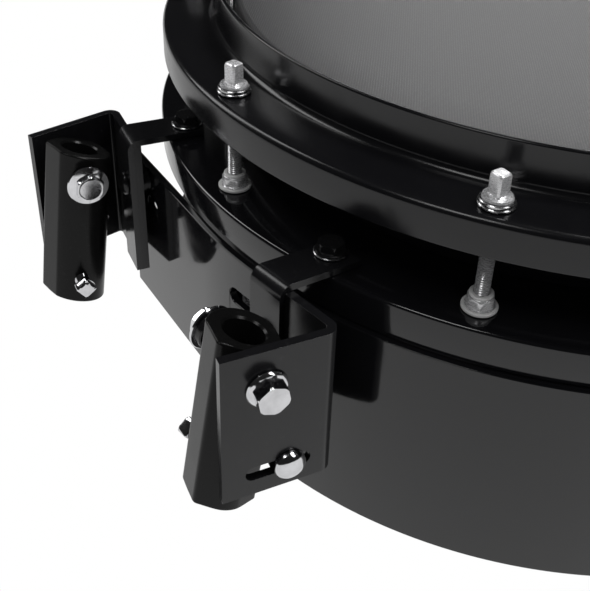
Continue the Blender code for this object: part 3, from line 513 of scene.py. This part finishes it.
def flipped():
    return Matrix.Translation((0, 0, -DEPTH)) @ Matrix.Rotation(math.pi, 4, "X")


def make_shell():
    edge, wall = 2.5 * MM, 6 * MM
    inner = SHELL_RADIUS - wall
    bm = bmesh.new()
    profile = []
    for level, way in ((SHELL_TOP, 1), (SHELL_LOW, -1)):
        crown = [(inner, level - way * 2 * edge), (inner + wall * 0.55, level - way * 0.2 * MM),
                 (inner + wall * 0.7, level),
                 *arc((SHELL_RADIUS - edge, level - way * edge), edge, way * QUARTER, 0, 5)]
        profile += crown if way > 0 else crown[::-1]
    turned(bm, profile)
    piece("shell_body", bm, "gloss", "drum", ["shell"])


def make_heads():
    for side, place in (("batter", Matrix.Identity(4)), ("snare", flipped())):
        bm = bmesh.new()
        round_edge = 3.2 * MM
        centre = (FILM_RADIUS - round_edge, -round_edge)
        film = 0.5 * MM
        inner = [(r - film, z) for r, z in arc(centre, round_edge, 0, QUARTER, 6)]
        disc(bm, [(0, 0), (30 * MM, 0), (90 * MM, 0), (150 * MM, 0),
                  *arc(centre, round_edge, QUARTER, 0, 8), (FILM_RADIUS, FILM_LOW),
                  (FILM_RADIUS - film, FILM_LOW), *inner, (150 * MM, -film), (0, -film)], place=place)
        piece(side + "_film", bm, "film", "drum", [side + "_head"])
        bm = bmesh.new()
        soft = 1.2 * MM
        turned(bm, rounded([
            (FILM_RADIUS + GAP, FLESH_LOW, soft), (FLESH_RADIUS, FLESH_LOW, soft),
            (FLESH_RADIUS, FLESH_TOP, soft), (FILM_RADIUS + GAP, FLESH_TOP, soft)], 4), place=place)
        piece(side + "_flesh_ring", bm, "zinc", "drum", [side + "_flesh_hoop"])


def hoop_profile():
    """Rolled lip, flange, rounded outer bend, skirt with a soft rim and the ledge on the flesh hoop."""
    skirt_wall = 2.5 * MM
    under = FLANGE_LEVEL - FLANGE_WALL
    ledge_low = FLESH_TOP + GAP
    return rounded([
        (LIP_INNER, LIP_TOP, 1.1 * MM), (LIP_OUTER, LIP_TOP, 1.1 * MM),
        (LIP_OUTER, FLANGE_LEVEL, 3.6 * MM), (HOOP_RADIUS, FLANGE_LEVEL, 3.0 * MM),
        (HOOP_RADIUS, HOOP_LOW, 0.9 * MM), (HOOP_RADIUS - skirt_wall, HOOP_LOW, 0.9 * MM),
        (HOOP_RADIUS - skirt_wall, under, 0.6 * MM), (LIP_INNER, under, 0.6 * MM),
        (LIP_INNER, ledge_low, 0), (LEDGE_INNER, ledge_low, 0.6 * MM),
        (LEDGE_INNER, ledge_low + 3 * MM, 0.6 * MM), (LIP_INNER, ledge_low + 3 * MM, 1 * MM),
    ], 7)


def make_hoops():
    for side, place in (("batter", Matrix.Identity(4)), ("snare", flipped())):
        bm = bmesh.new()
        turned(bm, hoop_profile(), place=place, gates=side == "snare")
        piece(side + "_hoop_shell", bm, "hoop", "drum", [side + "_hoop"], angle=30)


def make_lug_ring():
    skirt_wall = 2.5 * MM
    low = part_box("guard_plate")[1].z + GAP
    inner = SHELL_RADIUS + GAP
    under = RING_TOP - FLANGE_WALL
    bm = bmesh.new()
    turned(bm, rounded([
        (inner, RING_TOP, 0.8 * MM), (RING_RADIUS, RING_TOP, 1.7 * MM), (RING_RADIUS, low, 0.7 * MM),
        (RING_RADIUS - skirt_wall, low, 0.7 * MM), (RING_RADIUS - skirt_wall, under, 1 * MM),
        (inner + FLANGE_WALL, under, 1 * MM), (inner + FLANGE_WALL, low, 0.7 * MM), (inner, low, 0.7 * MM),
    ], 6))
    piece("lug_ring_channel", bm, "gloss", "drum", ["lug_ring"], angle=30)
    for index, angle in enumerate(rod_angles()):
        bm = bmesh.new()
        foot = RING_TOP - SLEEVE_LENGTH
        soft = 0.8 * MM
        headed(bm, [
            (0, 0, SLEEVE_RADIUS - soft, foot), (0, 0, SLEEVE_RADIUS, foot + soft),
            (0, 0, SLEEVE_RADIUS, under - soft), (0, 0, SLEEVE_RADIUS + soft, under),
        ], around(angle, ROD_CIRCLE), bore=3.4 * MM)
        piece(f"rod_sleeve_{index + 1}", bm, "gloss", "drum")


def washer(bm, low, thick, radius, place):
    soft = 0.3 * MM
    headed(bm, [
        (0, 0, radius - soft, low), (0, 0, radius, low + soft),
        (0, 0, radius, low + thick - soft), (0, 0, radius - soft, low + thick),
    ], place, bore=ROD_RADIUS + 0.2 * MM)


def make_rods():
    """Square key heads with rounded tops and collars, two washers each, and real threads."""
    bend = 0.7 * MM
    for side, place, end in (("batter", Matrix.Identity(4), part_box("batter_rod_1")[0].z),
                             ("snare", flipped(), -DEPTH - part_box("snare_rod_1")[1].z)):
        for index, angle in enumerate(rod_angles()):
            spot = place @ around(angle, ROD_CIRCLE)
            low = FLANGE_LEVEL + GAP
            bm = bmesh.new()
            washer(bm, low, 1.2 * MM, 7 * MM, spot)
            washer(bm, low + 1.35 * MM, 1.2 * MM, 6.6 * MM, spot)
            piece(f"{side}_rod_washers_{index + 1}", bm, "zinc", "drum")
            collar = low + 2.6 * MM
            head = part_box("batter_rod_1")[1].z
            turn = spot @ Matrix.Rotation(KEY_TURNS[index % len(KEY_TURNS)], 4, "Z")
            bm = bmesh.new()
            headed(bm, [
                (0, 0, 5.5 * MM, collar), (0, 0, 5.8 * MM, collar + 0.4 * MM),
                (0, 0, 5.5 * MM, collar + 1.1 * MM), (0, 0, 4.0 * MM, collar + 1.5 * MM),
                (4, KEY_HALF, 3.8 * MM, collar + 1.9 * MM), (4, KEY_HALF, 3.75 * MM, head - 1.1 * MM),
                (4, KEY_HALF - 0.1 * MM, 3.4 * MM, head - 0.4 * MM), (4, KEY_HALF - bend, 2.8 * MM, head),
            ], turn)
            threaded(bm, ROD_RADIUS, end, low - 1 * MM, spot)
            headed(bm, [(0, 0, ROD_RADIUS - bend, low - 2 * MM), (0, 0, ROD_RADIUS - bend, collar)], spot, 20)
            piece(f"{side}_tension_rod_{index + 1}", bm, "rod", "drum", [f"{side}_rod_{index + 1}"],
                  angle=28, groove_shade="groove_shade")


KEY_TURNS = [math.radians(a) for a in (62, 10, 68, 25, 80, 5, 33, 57, 74, 19)]


def make_nuts():
    """A hexagon nut on a pale nylon washer, with a pale collar on top."""
    low = RING_TOP + GAP
    for index, angle in enumerate(rod_angles()):
        spot = around(angle, ROD_CIRCLE) @ Matrix.Rotation(KEY_TURNS[-1 - index], 4, "Z")
        bm = bmesh.new()
        headed(bm, [
            (0, 0, 5.4 * MM, low + 1.2 * MM), (0, 0, 5.9 * MM, low + 1.5 * MM), (6, 5 * MM, 5.6 * MM, low + 1.8 * MM),
            (6, 5 * MM, 5.6 * MM, low + 4.9 * MM), (6, 5 * MM, 5.15 * MM, low + 5.5 * MM),
            (0, 0, 4.75 * MM, low + 5.9 * MM), (0, 0, 4.5 * MM, low + 6.0 * MM),
        ], spot, bore=ROD_RADIUS + 0.1 * MM)
        piece(f"lug_nut_body_{index + 1}", bm, "rod", "drum", [f"lug_nut_{index + 1}"])
        bm = bmesh.new()
        washer(bm, low + 5.95 * MM, 1.2 * MM, 4.7 * MM, spot)
        washer(bm, low, 1.3 * MM, 7.1 * MM, spot)
        piece(f"lug_nut_collars_{index + 1}", bm, "nylon", "drum")


def bracket_frame(side):
    bolt = around(FRONT + BRACKET_ANGLE, BOLT_CIRCLE, RING_TOP)
    mirror = Matrix.Scale(side, 4, (1, 0, 0))
    return Matrix.Rotation(PAIR_TURN, 4, "Z") @ mirror @ bolt @ Matrix.Rotation(-WING_TURN, 4, "Z")


def clamp_frame(side):
    turn = Matrix.Rotation(math.pi - CLAMP_TURN, 4, "Z") @ Matrix.Rotation(QUARTER, 4, "X")
    return bracket_frame(side) @ Matrix.Translation((WING_OUTER, WING_REACH, 0)) @ turn


def pivot_frame(side, height=0.0):
    return clamp_frame(side) @ Matrix.Translation((-PIVOT_ALONG, -PIVOT_DROP, height))


def socket_frame(side):
    tilt = Matrix.Rotation(-SOCKET_TILT, 4, "Z") @ Matrix.Translation((-SOCKET_OFFSET, 0, 0))
    return pivot_frame(side, -WING_WALL - GAP - SOCKET_HALF) @ tilt @ Matrix.Rotation(-QUARTER, 4, "X")


def foot_shifts(side):
    return (2.7 * MM, -2.7 * MM) if side > 0 else (0.8 * MM, 0.8 * MM)


def guard_bolt_frame(side):
    place = bracket_frame(side) @ Matrix.Translation((0, foot_shifts(side)[1], -GUARD_BOLT_DROP))
    return place @ Matrix.Rotation(QUARTER, 4, "Y")


def guard_seat(side):
    """How far along the guard bolt the plate's outer face lies, and that face's slope there."""
    place = guard_bolt_frame(side)
    start, across, axis = (Vector((*place.col[column][:2],)) for column in (3, 1, 2))
    if side < 0:
        reach = (-GUARD_RADIUS - start.y) / axis.y
        normal = Vector((0, -1))
    else:
        along = start.dot(axis)
        reach = math.sqrt(along ** 2 - start.length_squared + GUARD_RADIUS ** 2) - along
        normal = (start + axis * reach).normalized()
    return reach, -normal.dot(across) / normal.dot(axis)


def back_screw_frame(side, level):
    turn = Matrix.Rotation(BACK_SCREW_TURN, 4, "Z") @ Matrix.Rotation(QUARTER, 4, "Y")
    return socket_frame(side) @ Matrix.Translation((0, 0, level)) @ turn


def make_guard_plate():
    """One curved plate with soft edges and two slots."""
    bm = bmesh.new()
    columns = [(Vector((x, -GUARD_RADIUS)), Vector((x, GUARD_WALL - GUARD_RADIUS)), GUARD_LOW_LEFT)
               for x in (-GUARD_FLAT, -GUARD_FLAT / 2)]
    steps = 62
    for step in range(steps + 1):
        angle = FRONT + (GUARD_END - FRONT) * step / steps
        direction = Vector((math.cos(angle), math.sin(angle)))
        share = min(max((angle - GUARD_STEP_FROM) / (GUARD_STEP_TO - GUARD_STEP_FROM), 0), 1)
        smooth = share * share * (3 - 2 * share)
        low = GUARD_LOW_LEFT + smooth * (GUARD_LOW_RIGHT - GUARD_LOW_LEFT)
        columns.append((direction * GUARD_RADIUS, direction * (GUARD_RADIUS - GUARD_WALL), low))
    rows = []
    for outer, inner, low in columns:
        rows.append([outer.to_3d() + Vector((0, 0, low)), outer.to_3d() + Vector((0, 0, GUARD_TOP)),
                     inner.to_3d() + Vector((0, 0, GUARD_TOP)), inner.to_3d() + Vector((0, 0, low))])
    lofted(bm, rows)
    holes = bmesh.new()
    level = RING_TOP - GUARD_SLOT_DROP
    for x_low, x_high in GUARD_SLOTS:
        outline = arc((x_high - GUARD_SLOT_HALF, level), GUARD_SLOT_HALF, -QUARTER, QUARTER, 12)
        outline += arc((x_low + GUARD_SLOT_HALF, level), GUARD_SLOT_HALF, QUARTER, 3 * QUARTER, 12)
        prism(holes, outline, GUARD_RADIUS - 14 * MM, GUARD_RADIUS + GUARD_WALL, Matrix.Rotation(QUARTER, 4, "X"))
    made = piece("guard_sheet", carved(bm, [holes]), "gloss", "drum", ["guard_plate"], angle=20)
    bevelled(made, 0.9 * MM, 3, 50)


def add_foot(bm, side):
    tip_shift, leg_shift = foot_shifts(side)
    top = GAP + BRACKET_WALL
    centre = (LEG_OUTER - FOOT_BEND, top - FOOT_BEND)
    low = GAP - WING_BOTTOM
    outer = [(-FOOT_TIP, top), *arc(centre, FOOT_BEND, QUARTER, 0, 10), (LEG_OUTER, low)]
    inner = [(-FOOT_TIP, GAP), *arc(centre, FOOT_BEND - BRACKET_WALL, QUARTER, 0, 10),
             (LEG_OUTER - BRACKET_WALL, low)]
    rows = []
    for index, (far, near) in enumerate(zip(outer, inner)):
        shift = leg_shift if index else tip_shift
        first, last = shift - FOOT_HALF, shift + FOOT_HALF
        corners = [(far, first), (far, last), (near, last), (near, first)]
        rows.append([bracket_frame(side) @ Vector((x, y, z)) for (x, z), y in corners])
    lofted(bm, rows)


def wing_outline(start):
    along = Vector((math.cos(CLAMP_TURN), -math.sin(CLAMP_TURN)))
    face = Vector((math.sin(CLAMP_TURN), math.cos(CLAMP_TURN)))
    tip = Vector((WING_OUTER, WING_REACH)) + along * CLAMP_LENGTH
    fold = WING_WALL / math.cos(CLAMP_TURN)
    outside = WING_WALL * math.tan(CLAMP_TURN)
    return rounded([
        (WING_INNER, start, 0), (WING_OUTER, start, 0),
        (WING_OUTER, WING_REACH - fold, FOLD_RADIUS - WING_WALL),
        (*(tip - face * WING_WALL), 0), (*tip, 0), (WING_INNER, WING_REACH + outside, FOLD_RADIUS),
    ])


def make_brackets():
    for name, side in (("left", -1), ("right", 1)):
        place = bracket_frame(side)
        bm = bmesh.new()
        prism(bm, wing_outline(foot_shifts(side)[1] - FOOT_HALF + GAP), -WING_BOTTOM, 0, place)
        foot = bmesh.new()
        add_foot(foot, side)
        body = carved(bm, [foot], "UNION")
        holes = bmesh.new()
        through = (-2 * WING_WALL, WING_WALL)
        prism(holes, circle(4.4 * MM, 40), *through, pivot_frame(side))
        slot = arc((-SLOT_FROM - SLOT_HALF, -SLOT_DROP), SLOT_HALF, -QUARTER, QUARTER, 14)
        slot += arc((SLOT_HALF - SLOT_TO, -SLOT_DROP), SLOT_HALF, QUARTER, 3 * QUARTER, 14)
        prism(holes, slot, *through, clamp_frame(side))
        prism(holes, circle(3.4 * MM, 32), -BRACKET_WALL, 2 * BRACKET_WALL, place)
        made = piece(name + "_bracket_sheet", carved(body, [holes]), "satin", "drum", [name + "_bracket"], angle=25)
        bevelled(made, 0.55 * MM, 3, 40)


def socket_reach(angle):
    """The casting's outline: round at the back, flat at the sides, tapered towards the clamp plate."""
    reach = SOCKET_HALF if math.sin(angle) > 0 else SOCKET_HALF + 0.8 * MM
    if abs(angle - 3 * QUARTER) < math.radians(34):
        reach = 12.8 * MM
    for turn, distance in ((180, 13.1), (0, 13.1), (-115, 12.7), (-65, 12.7)):
        facing = math.cos(angle - math.radians(turn))
        if facing > 0.2:
            reach = min(reach, distance * MM / facing)
    return reach


def make_sockets():
    """A bored casting with askew ends, a boss on the pivot and an arm for the slot bolt."""
    skew = math.tan(FACE_TURN)
    soft = 1.1 * MM
    for name, side in (("left", -1), ("right", 1)):
        place = socket_frame(side)
        rows = []
        outer = [(SOCKET_HALF - soft * (1 - math.sin(QUARTER * s / 5)), soft * (1 - math.cos(QUARTER * s / 5)))
                 for s in range(6)]
        profile = [(r, d - SOCKET_FALL) for r, d in outer] + [(r, SOCKET_RISE - d) for r, d in outer[::-1]]
        lead = 0.8 * MM
        profile += [(SOCKET_BORE + lead, SOCKET_RISE), (SOCKET_BORE, SOCKET_RISE - lead),
                    (SOCKET_BORE, lead - SOCKET_FALL), (SOCKET_BORE + lead, -SOCKET_FALL)]
        for radius, height in profile:
            share = (radius - SOCKET_BORE) / (SOCKET_HALF - SOCKET_BORE)
            row = []
            for step in range(144):
                angle = TURN * step / 144
                reach = radius + max(share, 0) ** 4 * (socket_reach(angle) - SOCKET_HALF)
                x, y = reach * math.cos(angle), reach * math.sin(angle)
                row.append(place @ Vector((x, y, height - x * skew)))
            rows.append(row)
        bm = bmesh.new()
        lofted(bm, rows, closed=True)
        headed(bm, [(0, 0, 9 * MM, -4 * MM), (0, 0, 9 * MM, 0)], pivot_frame(side, -WING_WALL - GAP), 40)
        bolt = clamp_frame(side) @ Matrix.Translation((-SLOT_BOLT_ALONG, -SLOT_DROP, 0))
        seen = place.inverted() @ bolt.to_translation()
        margin, tall = 5.6 * MM, 6.4 * MM
        outline = rounded([
            (SOCKET_HALF / 4, seen.z + 2.2 * MM, 0), (seen.x - margin, seen.z + 2.2 * MM, 1 * MM),
            (seen.x - margin, seen.z - tall, margin / 2), (seen.x + margin, seen.z - tall, margin / 2),
            (seen.x + margin, seen.z + tall, margin / 2), (SOCKET_HALF / 4, seen.z + 14 * MM, 0),
        ], 6)
        prism(bm, outline, SOCKET_HALF - ARM_WALL, SOCKET_HALF, place @ Matrix.Rotation(QUARTER, 4, "X"))
        made = piece(name + "_socket_tube", bm, "cast", name + "_tilt", [name + "_socket"], angle=30)
        bevelled(made, 0.3 * MM, 2, 55)


def hex_flange(bm, place, seat, flange, hexagon, tall, chamfer=0.6 * MM):
    """A flange with a soft rim under a chamfered hexagon whose face is slightly dished."""
    base = seat + 1.6 * MM
    top = base + tall
    corner = hexagon / math.cos(math.pi / 6)
    headed(bm, [
        (0, 0, flange - 0.4 * MM, seat), (0, 0, flange, seat + 0.5 * MM), (0, 0, flange - 0.3 * MM, seat + 1 * MM),
        (0, 0, corner + 0.5 * MM, base), (6, hexagon, corner, base + 0.2 * MM),
        (6, hexagon, corner, top - chamfer), (6, hexagon, hexagon + 0.35 * MM, top - 0.1 * MM),
        (6, hexagon - 0.3 * MM, hexagon, top), (0, 0, hexagon - 1.0 * MM, top - 0.1 * MM),
    ], place, 60)


def domed(bm, place, seat, radius, height):
    rows = [(0, 0, radius, seat), (0, 0, radius, seat + 0.5 * MM)]
    steps = 7
    for step in range(1, steps):
        angle = QUARTER * step / steps
        rows.append((0, 0, radius * math.cos(angle), seat + 0.5 * MM + (height - 0.5 * MM) * math.sin(angle)))
    headed(bm, rows, place, 40)


def make_bolts():
    for name, side in (("left", -1), ("right", 1)):
        body = {"drum": "drum", "tilt": name + "_tilt", "slide": name + "_slide", "screw": name + "_screw"}
        bm = bmesh.new()
        place = pivot_frame(side) @ Matrix.Rotation(math.radians(40), 4, "Z")
        hex_flange(bm, place, GAP, 8.0 * MM, 5.7 * MM, 5.6 * MM)
        threaded(bm, 4 * MM, -WING_WALL - GAP - 3.5 * MM, 0, pivot_frame(side), 1.25 * MM)
        piece(name + "_pivot_hex_bolt", bm, "chrome", body["drum"], [name + "_pivot_bolt"], groove_shade="groove_shade")
        bm = bmesh.new()
        place = clamp_frame(side) @ Matrix.Translation((-SLOT_BOLT_ALONG, -SLOT_DROP, 0))
        domed(bm, place, GAP, 6.5 * MM, 4.2 * MM)
        headed(bm, [(0, 0, 2.9 * MM, -WING_WALL - ARM_WALL), (0, 0, 2.9 * MM, 1 * MM)], place, 24)
        piece(name + "_domed_bolt", bm, "chrome", body["slide"], [name + "_slot_bolt"])
        bm = bmesh.new()
        place = bracket_frame(side)
        hex_flange(bm, place, 2 * GAP + BRACKET_WALL + 0.4 * MM, 6.6 * MM, 5 * MM, 3.1 * MM)
        headed(bm, [(0, 0, 2.9 * MM, -4 * MM), (0, 0, 2.9 * MM, 4 * MM)], place, 24)
        headed(bm, [(6, 5 * MM, 5.4 * MM, -7.3 * MM), (6, 5 * MM, 5.77 * MM, -6.7 * MM),
                    (6, 5 * MM, 5.77 * MM, -3.3 * MM)], place)
        piece(name + "_foot_bolt", bm, "black_bolt", body["drum"], [name + "_bracket_bolt"])
        bm = bmesh.new()
        washer(bm, 2 * GAP + BRACKET_WALL, 0.8 * MM, 7 * MM, place)
        piece(name + "_foot_washer", bm, "zinc", body["drum"])
        bm = bmesh.new()
        place = guard_bolt_frame(side)
        domed(bm, place, LEG_OUTER + GAP, 6 * MM, 3.4 * MM)
        reach, slope = guard_seat(side)
        lean = place @ Matrix(((1, 0, 0, 0), (0, 1, 0, 0), (0, slope, 1, 0), (0, 0, 0, 1)))
        headed(bm, [(0, 0, 2.9 * MM, reach - GUARD_WALL), (0, 0, 2.9 * MM, reach + 2 * MM)], lean, 24)
        headed(bm, [(0, 0, 2.9 * MM, reach + 4 * MM), (0, 0, 2.9 * MM, LEG_OUTER + 1 * MM)], place, 24)
        headed(bm, [(0, 0, 5.6 * MM, reach + 0.5 * MM), (0, 0, 6 * MM, reach + 1 * MM),
                    (0, 0, 6 * MM, reach + 5 * MM)], lean, 40)
        headed(bm, [(0, 0, 6 * MM, reach + 4 * MM), (0, 0, 6 * MM, WING_INNER - GAP)], place, 40)
        piece(name + "_guard_screw", bm, "black_bolt", body["drum"], [name + "_guard_bolt"])
        bm = bmesh.new()
        place = back_screw_frame(side, REAR_BOLT_RISE)
        hex_flange(bm, place, 17.6 * MM, 9.3 * MM, 5.6 * MM, 3.6 * MM)
        piece(name + "_rear_hex_bolt", bm, "chrome", body["tilt"], [name + "_rear_bolt"])
        bm = bmesh.new()
        headed(bm, [(0, 0, 7.2 * MM, SOCKET_HALF), (0, 0, 7.7 * MM, SOCKET_HALF + 0.5 * MM),
                    (0, 0, 7.7 * MM, 17.1 * MM), (0, 0, 7.2 * MM, 17.6 * MM)], place, 40)
        piece(name + "_rear_spacer", bm, "satin", body["tilt"])
        bm = bmesh.new()
        place = back_screw_frame(side, -SET_SCREW_DROP)
        headed(bm, [
            (4, 3.1 * MM, 4.2 * MM, 18 * MM), (4, 3.5 * MM, 4.6 * MM, 18.4 * MM),
            (4, 3.5 * MM, 4.6 * MM, 23 * MM), (4, 3.2 * MM, 3.8 * MM, 23.7 * MM), (0, 0, 2.8 * MM, 24 * MM),
        ], place)
        threaded(bm, 3.4 * MM, SOCKET_BORE + GAP, 18.2 * MM, place)
        piece(name + "_square_screw", bm, "chrome", body["screw"], [name + "_set_screw"], groove_shade="groove_shade")


def make_snares():
    """Coiled wires soldered to two plates, with a strap up to the strainer and the butt."""
    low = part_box("snares")[0].z
    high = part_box("snares")[1].z
    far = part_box("snares")[1].x
    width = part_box("snares")[1].y
    strap = 0.5 * MM
    bm = bmesh.new()
    plate_reach = 150 * MM
    for way in (-1, 1):
        ends = sorted((way * (far - 1.4 * MM), way * (far - 1.4 * MM + strap)))
        prism(bm, [(ends[0], -width), (ends[1], -width), (ends[1], width), (ends[0], width)], low, high)
        edges = sorted((way * plate_reach, way * (far - 1 * MM)))
        prism(bm, [(edges[0], -width), (edges[1], -width), (edges[1], width), (edges[0], width)],
              low, low + strap)
    piece("snare_straps", bm, "steel", "drum", ["snares"])
    bm = bmesh.new()
    wires, pitch = 20, 1.6 * MM
    rings = int(2 * plate_reach / (pitch / 2))
    for wire in range(wires):
        y = -width + 1.2 * MM + (2 * width - 2.4 * MM) * wire / (wires - 1)
        rows = []
        for ring in range(rings + 1):
            radius = (0.62 if ring % 2 else 0.4) * MM
            x = -plate_reach + ring * pitch / 2
            rows.append([Vector((x, y + radius * math.cos(TURN * s / 6), low + 0.7 * MM + radius * math.sin(TURN * s / 6)))
                         for s in range(6)])
        lofted(bm, rows)
    piece("snare_wires", bm, "steel", "drum", angle=60)


def make_knob():
    low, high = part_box("tension_knob")
    middle = (low + high) / 2
    radius = (high.x - low.x) / 2
    place = Matrix.Translation((middle.x, middle.y, 0))
    base = high.z - 10 * MM
    bm = bmesh.new()
    rows = []
    points = 72
    for share, height in ((0.9, base), (1, base + 0.8 * MM), (1, high.z - 1.2 * MM), (0.8, high.z)):
        rows.append([place @ Vector((radius * share * (1 - 0.05 * (s % 2)) * math.cos(TURN * s / points),
                                     radius * share * (1 - 0.05 * (s % 2)) * math.sin(TURN * s / points), height))
                     for s in range(points)])
    lofted(bm, rows)
    headed(bm, [(0, 0, 2 * MM, low.z), (0, 0, 2 * MM, base + 1 * MM)], place, 24)
    piece("knurled_knob", bm, "chrome", "knob", ["tension_knob"])


def dress_carried_nodes():
    """The strainer, its lever and the butt plate keep their solids, with soft edges and plate."""
    for name in ("strainer_base", "butt_plate", "throw_off_lever"):
        node = frame["nodes"][name]
        node.data.materials.clear()
        node.data.materials.append(FINISHES["chrome"])
        bevelled(node, 0.6 * MM, 3, 50)
    spare = {"gloss_black": "gloss", "satin_black": "satin", "chrome": "chrome", "head_film": "film"}
    for entry in frame["record"]["subparts"]:
        node = frame["nodes"][entry["node"]]
        if not node.data.materials or node.data.materials[0] is None:
            node.data.materials.append(FINISHES[spare[entry["material_slot"]]])


def make_camera():
    data = bpy.data.cameras.new("camera")
    data.sensor_width = SENSOR_WIDTH
    long_side = max(IMAGE_SIZE)
    data.lens = SENSOR_WIDTH * FOCAL_PIXELS / long_side
    data.shift_x = (IMAGE_SIZE[0] / 2 - CENTRE_PIXEL[0]) / long_side
    data.shift_y = (CENTRE_PIXEL[1] - IMAGE_SIZE[1] / 2) / long_side
    data.clip_start = 0.02
    camera = bpy.data.objects.new("camera", data)
    turn = Matrix((CAMERA_RIGHT, CAMERA_UP, CAMERA_BACK)).transposed().to_4x4()
    camera.matrix_world = Matrix.Translation(CAMERA_PLACE) @ turn
    bpy.context.scene.collection.objects.link(camera)
    bpy.context.scene.camera = camera


FLOOR_GLOSS = 0.7


def make_floor():
    """A white floor: plain white to the camera, less to gloss, softly lit otherwise, clear from below."""
    low = cad_box[0].z - 0.5 * MM
    bm = bmesh.new()
    half = 5
    bm.faces.new([bm.verts.new((x, y, low)) for x, y in ((-half, -half), (half, -half), (half, half), (-half, half))])
    mesh = bpy.data.meshes.new("floor")
    bm.to_mesh(mesh)
    bm.free()
    made = bpy.data.materials.new("white_floor")
    made.use_nodes = True
    nodes, links = made.node_tree.nodes, made.node_tree.links
    nodes.clear()
    path = nodes.new("ShaderNodeLightPath")
    seen = nodes.new("ShaderNodeMath")
    seen.operation = "MAXIMUM"
    links.new(path.outputs["Is Camera Ray"], seen.inputs[0])
    links.new(path.outputs["Is Glossy Ray"], seen.inputs[1])
    plain = nodes.new("ShaderNodeBsdfDiffuse")
    plain.inputs["Color"].default_value = (0.8, 0.8, 0.8, 1)
    white = nodes.new("ShaderNodeEmission")
    tone = nodes.new("ShaderNodeMix")
    tone.data_type = "RGBA"
    tone.inputs["A"].default_value = (FLOOR_GLOSS, FLOOR_GLOSS, FLOOR_GLOSS, 1)
    tone.inputs["B"].default_value = (1, 1, 1, 1)
    links.new(path.outputs["Is Camera Ray"], tone.inputs["Factor"])
    links.new(tone.outputs["Result"], white.inputs["Color"])
    mix = nodes.new("ShaderNodeMixShader")
    links.new(seen.outputs[0], mix.inputs["Fac"])
    links.new(plain.outputs[0], mix.inputs[1])
    links.new(white.outputs[0], mix.inputs[2])
    below = nodes.new("ShaderNodeNewGeometry")
    clear = nodes.new("ShaderNodeBsdfTransparent")
    one_sided = nodes.new("ShaderNodeMixShader")
    links.new(below.outputs["Backfacing"], one_sided.inputs["Fac"])
    links.new(mix.outputs[0], one_sided.inputs[1])
    links.new(clear.outputs[0], one_sided.inputs[2])
    output = nodes.new("ShaderNodeOutputMaterial")
    links.new(one_sided.outputs[0], output.inputs["Surface"])
    mesh.materials.append(made)
    floor = bpy.data.objects.new("floor", mesh)
    bpy.context.scene.collection.objects.link(floor)


def make_world():
    """A dim studio above the floor, white where the camera looks past the floor."""
    world = bpy.data.worlds.new("studio")
    world.use_nodes = True
    nodes, links = world.node_tree.nodes, world.node_tree.links
    background = nodes["Background"]
    path = nodes.new("ShaderNodeLightPath")
    glossy = nodes.new("ShaderNodeMix")
    glossy.data_type = "RGBA"
    glossy.inputs["A"].default_value = (0.24, 0.24, 0.245, 1)
    glossy.inputs["B"].default_value = (0.014, 0.014, 0.014, 1)
    links.new(path.outputs["Is Glossy Ray"], glossy.inputs["Factor"])
    seen = nodes.new("ShaderNodeMix")
    seen.data_type = "RGBA"
    seen.inputs["B"].default_value = (1, 1, 1, 1)
    links.new(path.outputs["Is Camera Ray"], seen.inputs["Factor"])
    links.new(glossy.outputs["Result"], seen.inputs["A"])
    links.new(seen.outputs["Result"], background.inputs["Color"])
    bpy.context.scene.world = world


SOFTBOXES = (
    # name, direction from the drum as bearing and elevation, distance, width, height, watts
    ("back_softbox", 130, 27, 1.6, 1.2, 0.4, 6),
    ("high_softbox", 60, 68, 1.6, 0.5, 0.5, 10),
    ("left_softbox", 215, 34, 1.5, 0.4, 1.1, 5),
    ("right_softbox", 20, 42, 1.6, 0.4, 0.8, 4),
    ("front_softbox", -75, 55, 1.7, 0.5, 0.4, 3),
)


def make_lights():
    for name, bearing, elevation, distance, width, height, power in SOFTBOXES:
        data = bpy.data.lights.new(name, "AREA")
        data.shape = "RECTANGLE"
        data.size, data.size_y = width, height
        data.energy = power
        lamp = bpy.data.objects.new(name, data)
        flat = math.cos(math.radians(elevation))
        way = Vector((math.cos(math.radians(bearing)) * flat, math.sin(math.radians(bearing)) * flat,
                      math.sin(math.radians(elevation))))
        lamp.location = way * distance
        lamp.rotation_mode = "QUATERNION"
        lamp.rotation_quaternion = (-way).to_track_quat("-Z", "Y")
        bpy.context.scene.collection.objects.link(lamp)


make_camera()
make_shell()
make_heads()
make_hoops()
make_lug_ring()
make_rods()
make_nuts()
make_guard_plate()
make_brackets()
make_sockets()
make_bolts()
make_snares()
make_knob()
dress_carried_nodes()
make_floor()
make_world()
make_lights()
bpy.context.scene.view_settings.view_transform = "Standard"
